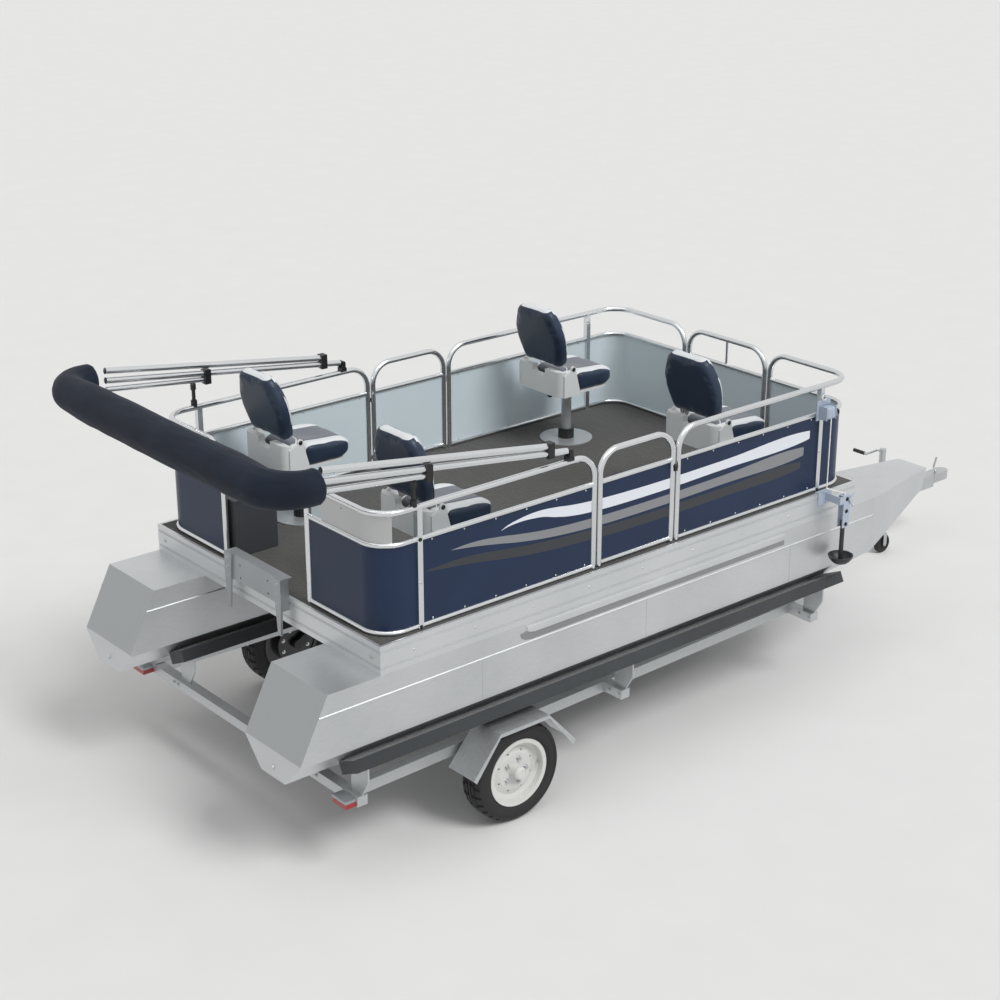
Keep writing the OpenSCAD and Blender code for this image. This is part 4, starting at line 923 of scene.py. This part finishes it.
# ---- motor bracket bolts, seat plate screws and frame bolts ----
PLATE_SCREW_CIRCLE = 0.135
bm = bmesh.new()
for y in (-0.225, 0.225):
    for z in (0.07, 0.02, -0.03):
        put_bolt(bm, on_deck(-0.050, y, z), (-1, 0, 0), 0.012, 0.005)
for i in range(1, 5):
    lo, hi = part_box(f"seat_{i}_shell")
    foot = Vector((lo[0] + POST_FROM_REAR, (lo[1] + hi[1]) / 2, DECK_Z + 0.006))
    for k in range(6):
        a = math.tau * k / 6 + 0.3
        ring = Vector((math.cos(a), math.sin(a), 0)) * PLATE_SCREW_CIRCLE
        put_dome(bm, foot + ring, (0, 0, 1), 0.007, 0.003)
for s in (-1, 1):
    for x in (-0.125, 1.6, 3.1):
        for y in (0.62, 0.66, 0.91, 0.98):
            put_bolt(bm, Vector((STERN_X + x - 0.0305, s * y, 0.42)), (-1, 0, 0), 0.017, 0.008)
piece(bm, "bracket_and_frame_bolts", "boat", "plated")

# anchor davit: dark bolts and a bent trigger on the arm; winch: cast housing, dark ring and white loop
bm = bmesh.new()
for z in (-0.026, -0.1, -0.178):
    put_bolt(bm, on_deck(3.185, -1.113, z), (0, -1, 0), 0.016, 0.006)
put_lathe(bm, [(0.012, -0.002), (0.018, -0.002), (0.018, 0.004), (0.012, 0.004), (0.012, -0.002)],
          on_deck(3.167, -1.010, 0.470), (1, 0, 0), 32)
piece(bm, "davit_bolts", "boat", "black")
pipe([on_deck(3.238, -1.118, -0.002), on_deck(3.196, -1.118, -0.030), on_deck(3.23, -1.118, -0.08)],
     0.0045, "davit_trigger", "boat", "gear")
bm = bmesh.new()
put_box(bm, on_deck(3.064, -1.035, 0.444), on_deck(3.135, -0.979, 0.514), 0.014, 4)
piece(bm, "winch_housing", "boat", "gear")
LOOP_R, LOOP_STEPS = 0.017, 28
turns = [t * math.tau / LOOP_STEPS for t in range(LOOP_STEPS)]
pipe([on_deck(3.095 + LOOP_R * math.cos(a), -0.977, 0.559 + LOOP_R * math.sin(a)) for a in turns],
     0.0035, "winch_loop", "boat", "shell", closed=True)
bm = bmesh.new()
for s in (-1, 1):
    y = s * 0.935
    put_box(bm, (STERN_X - 0.2185, y - 0.0565, 0.421), (STERN_X - 0.153, y + 0.0565, 0.4365), 0.002)
piece(bm, "lamp_housings", "boat", "beam")

bm = bmesh.new()
lo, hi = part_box("jack_crank")
grip = Vector((lo[0] + 0.009, hi[1], (lo[2] + hi[2]) / 2))
put_lathe(bm, [(0, 0), (0.011, 0.001), (0.013, 0.006), (0.0115, 0.02), (0.013, 0.035), (0.0115, 0.05),
               (0.013, 0.065), (0.0115, 0.08), (0.013, 0.09), (0.0095, 0.094), (0, 0.094)], grip, (0, -1, 0), 24)
piece(bm, "crank_grip", "crank", "black")


# ---- floor, lights and camera ----
def studio():
    made, tree, shader = new_material("pale_studio_floor")
    rays = add(tree, "ShaderNodeLightPath")
    seen = math_node(tree, "MAXIMUM", rays.outputs["Is Glossy Ray"], rays.outputs["Is Transmission Ray"])
    glow = add(tree, "ShaderNodeEmission", {"Color": linear("#eaeaea"), "Strength": 0.9})
    grain = add(tree, "ShaderNodeTexNoise", {"Vector": object_point(tree), "Scale": 3.0}).outputs[0]
    tree.links.new(mix_color(tree, grain, linear("#dddddc"), linear("#e2e2e1")), shader.inputs["Base Color"])
    shader.inputs["Roughness"].default_value = 0.9
    mixed = add(tree, "ShaderNodeMixShader", {0: seen, 1: shader.outputs[0], 2: glow.outputs[0]})
    tree.links.new(mixed.outputs[0], tree.nodes["Material Output"].inputs[0])
    bm = bmesh.new()
    bmesh.ops.create_grid(bm, x_segments=2, y_segments=2, size=90)
    mesh = bpy.data.meshes.new("studio_floor")
    bm.to_mesh(mesh)
    bm.free()
    floor = bpy.data.objects.new("studio_floor", mesh)
    mesh.materials.append(made)
    bpy.context.scene.collection.objects.link(floor)

    world = bpy.data.worlds.new("studio")
    bpy.context.scene.world = world
    world.use_nodes = True
    tree = world.node_tree
    tree.nodes.clear()
    rays = add(tree, "ShaderNodeLightPath")
    seen = math_node(tree, "MAXIMUM", rays.outputs["Is Glossy Ray"], rays.outputs["Is Transmission Ray"])
    seen = math_node(tree, "MAXIMUM", rays.outputs["Is Camera Ray"], seen)
    strength = math_node(tree, "MULTIPLY_ADD", seen, 0.35, 0.55)
    backdrop = add(tree, "ShaderNodeBackground", {"Color": linear("#f1f1f1"), "Strength": strength})
    out = add(tree, "ShaderNodeOutputWorld")
    tree.links.new(backdrop.outputs[0], out.inputs[0])
    for name, kind, energy, angle, turn in (("key_light", "SUN", 1.7, 24, (40, 0, 10)),
                                            ("fill_light", "SUN", 0.5, 60, (20, 0, -60))):
        light = bpy.data.lights.new(name, kind)
        light.energy = energy
        light.angle = math.radians(angle)
        holder = bpy.data.objects.new(name, light)
        holder.rotation_euler = [math.radians(t) for t in turn]
        bpy.context.scene.collection.objects.link(holder)

    camera = bpy.data.cameras.new("camera")
    camera.lens = 69.135
    camera.sensor_width = 36
    camera.clip_end = 400
    holder = bpy.data.objects.new("camera", camera)
    holder.location = on_deck(-4.7783, -7.5343, 3.8908)
    holder.rotation_euler = (math.radians(90 - 21.338), 0, math.radians(49.866 - 90))
    bpy.context.scene.collection.objects.link(holder)
    bpy.context.scene.camera = holder
    bpy.context.scene.view_settings.view_transform = "Standard"


studio()
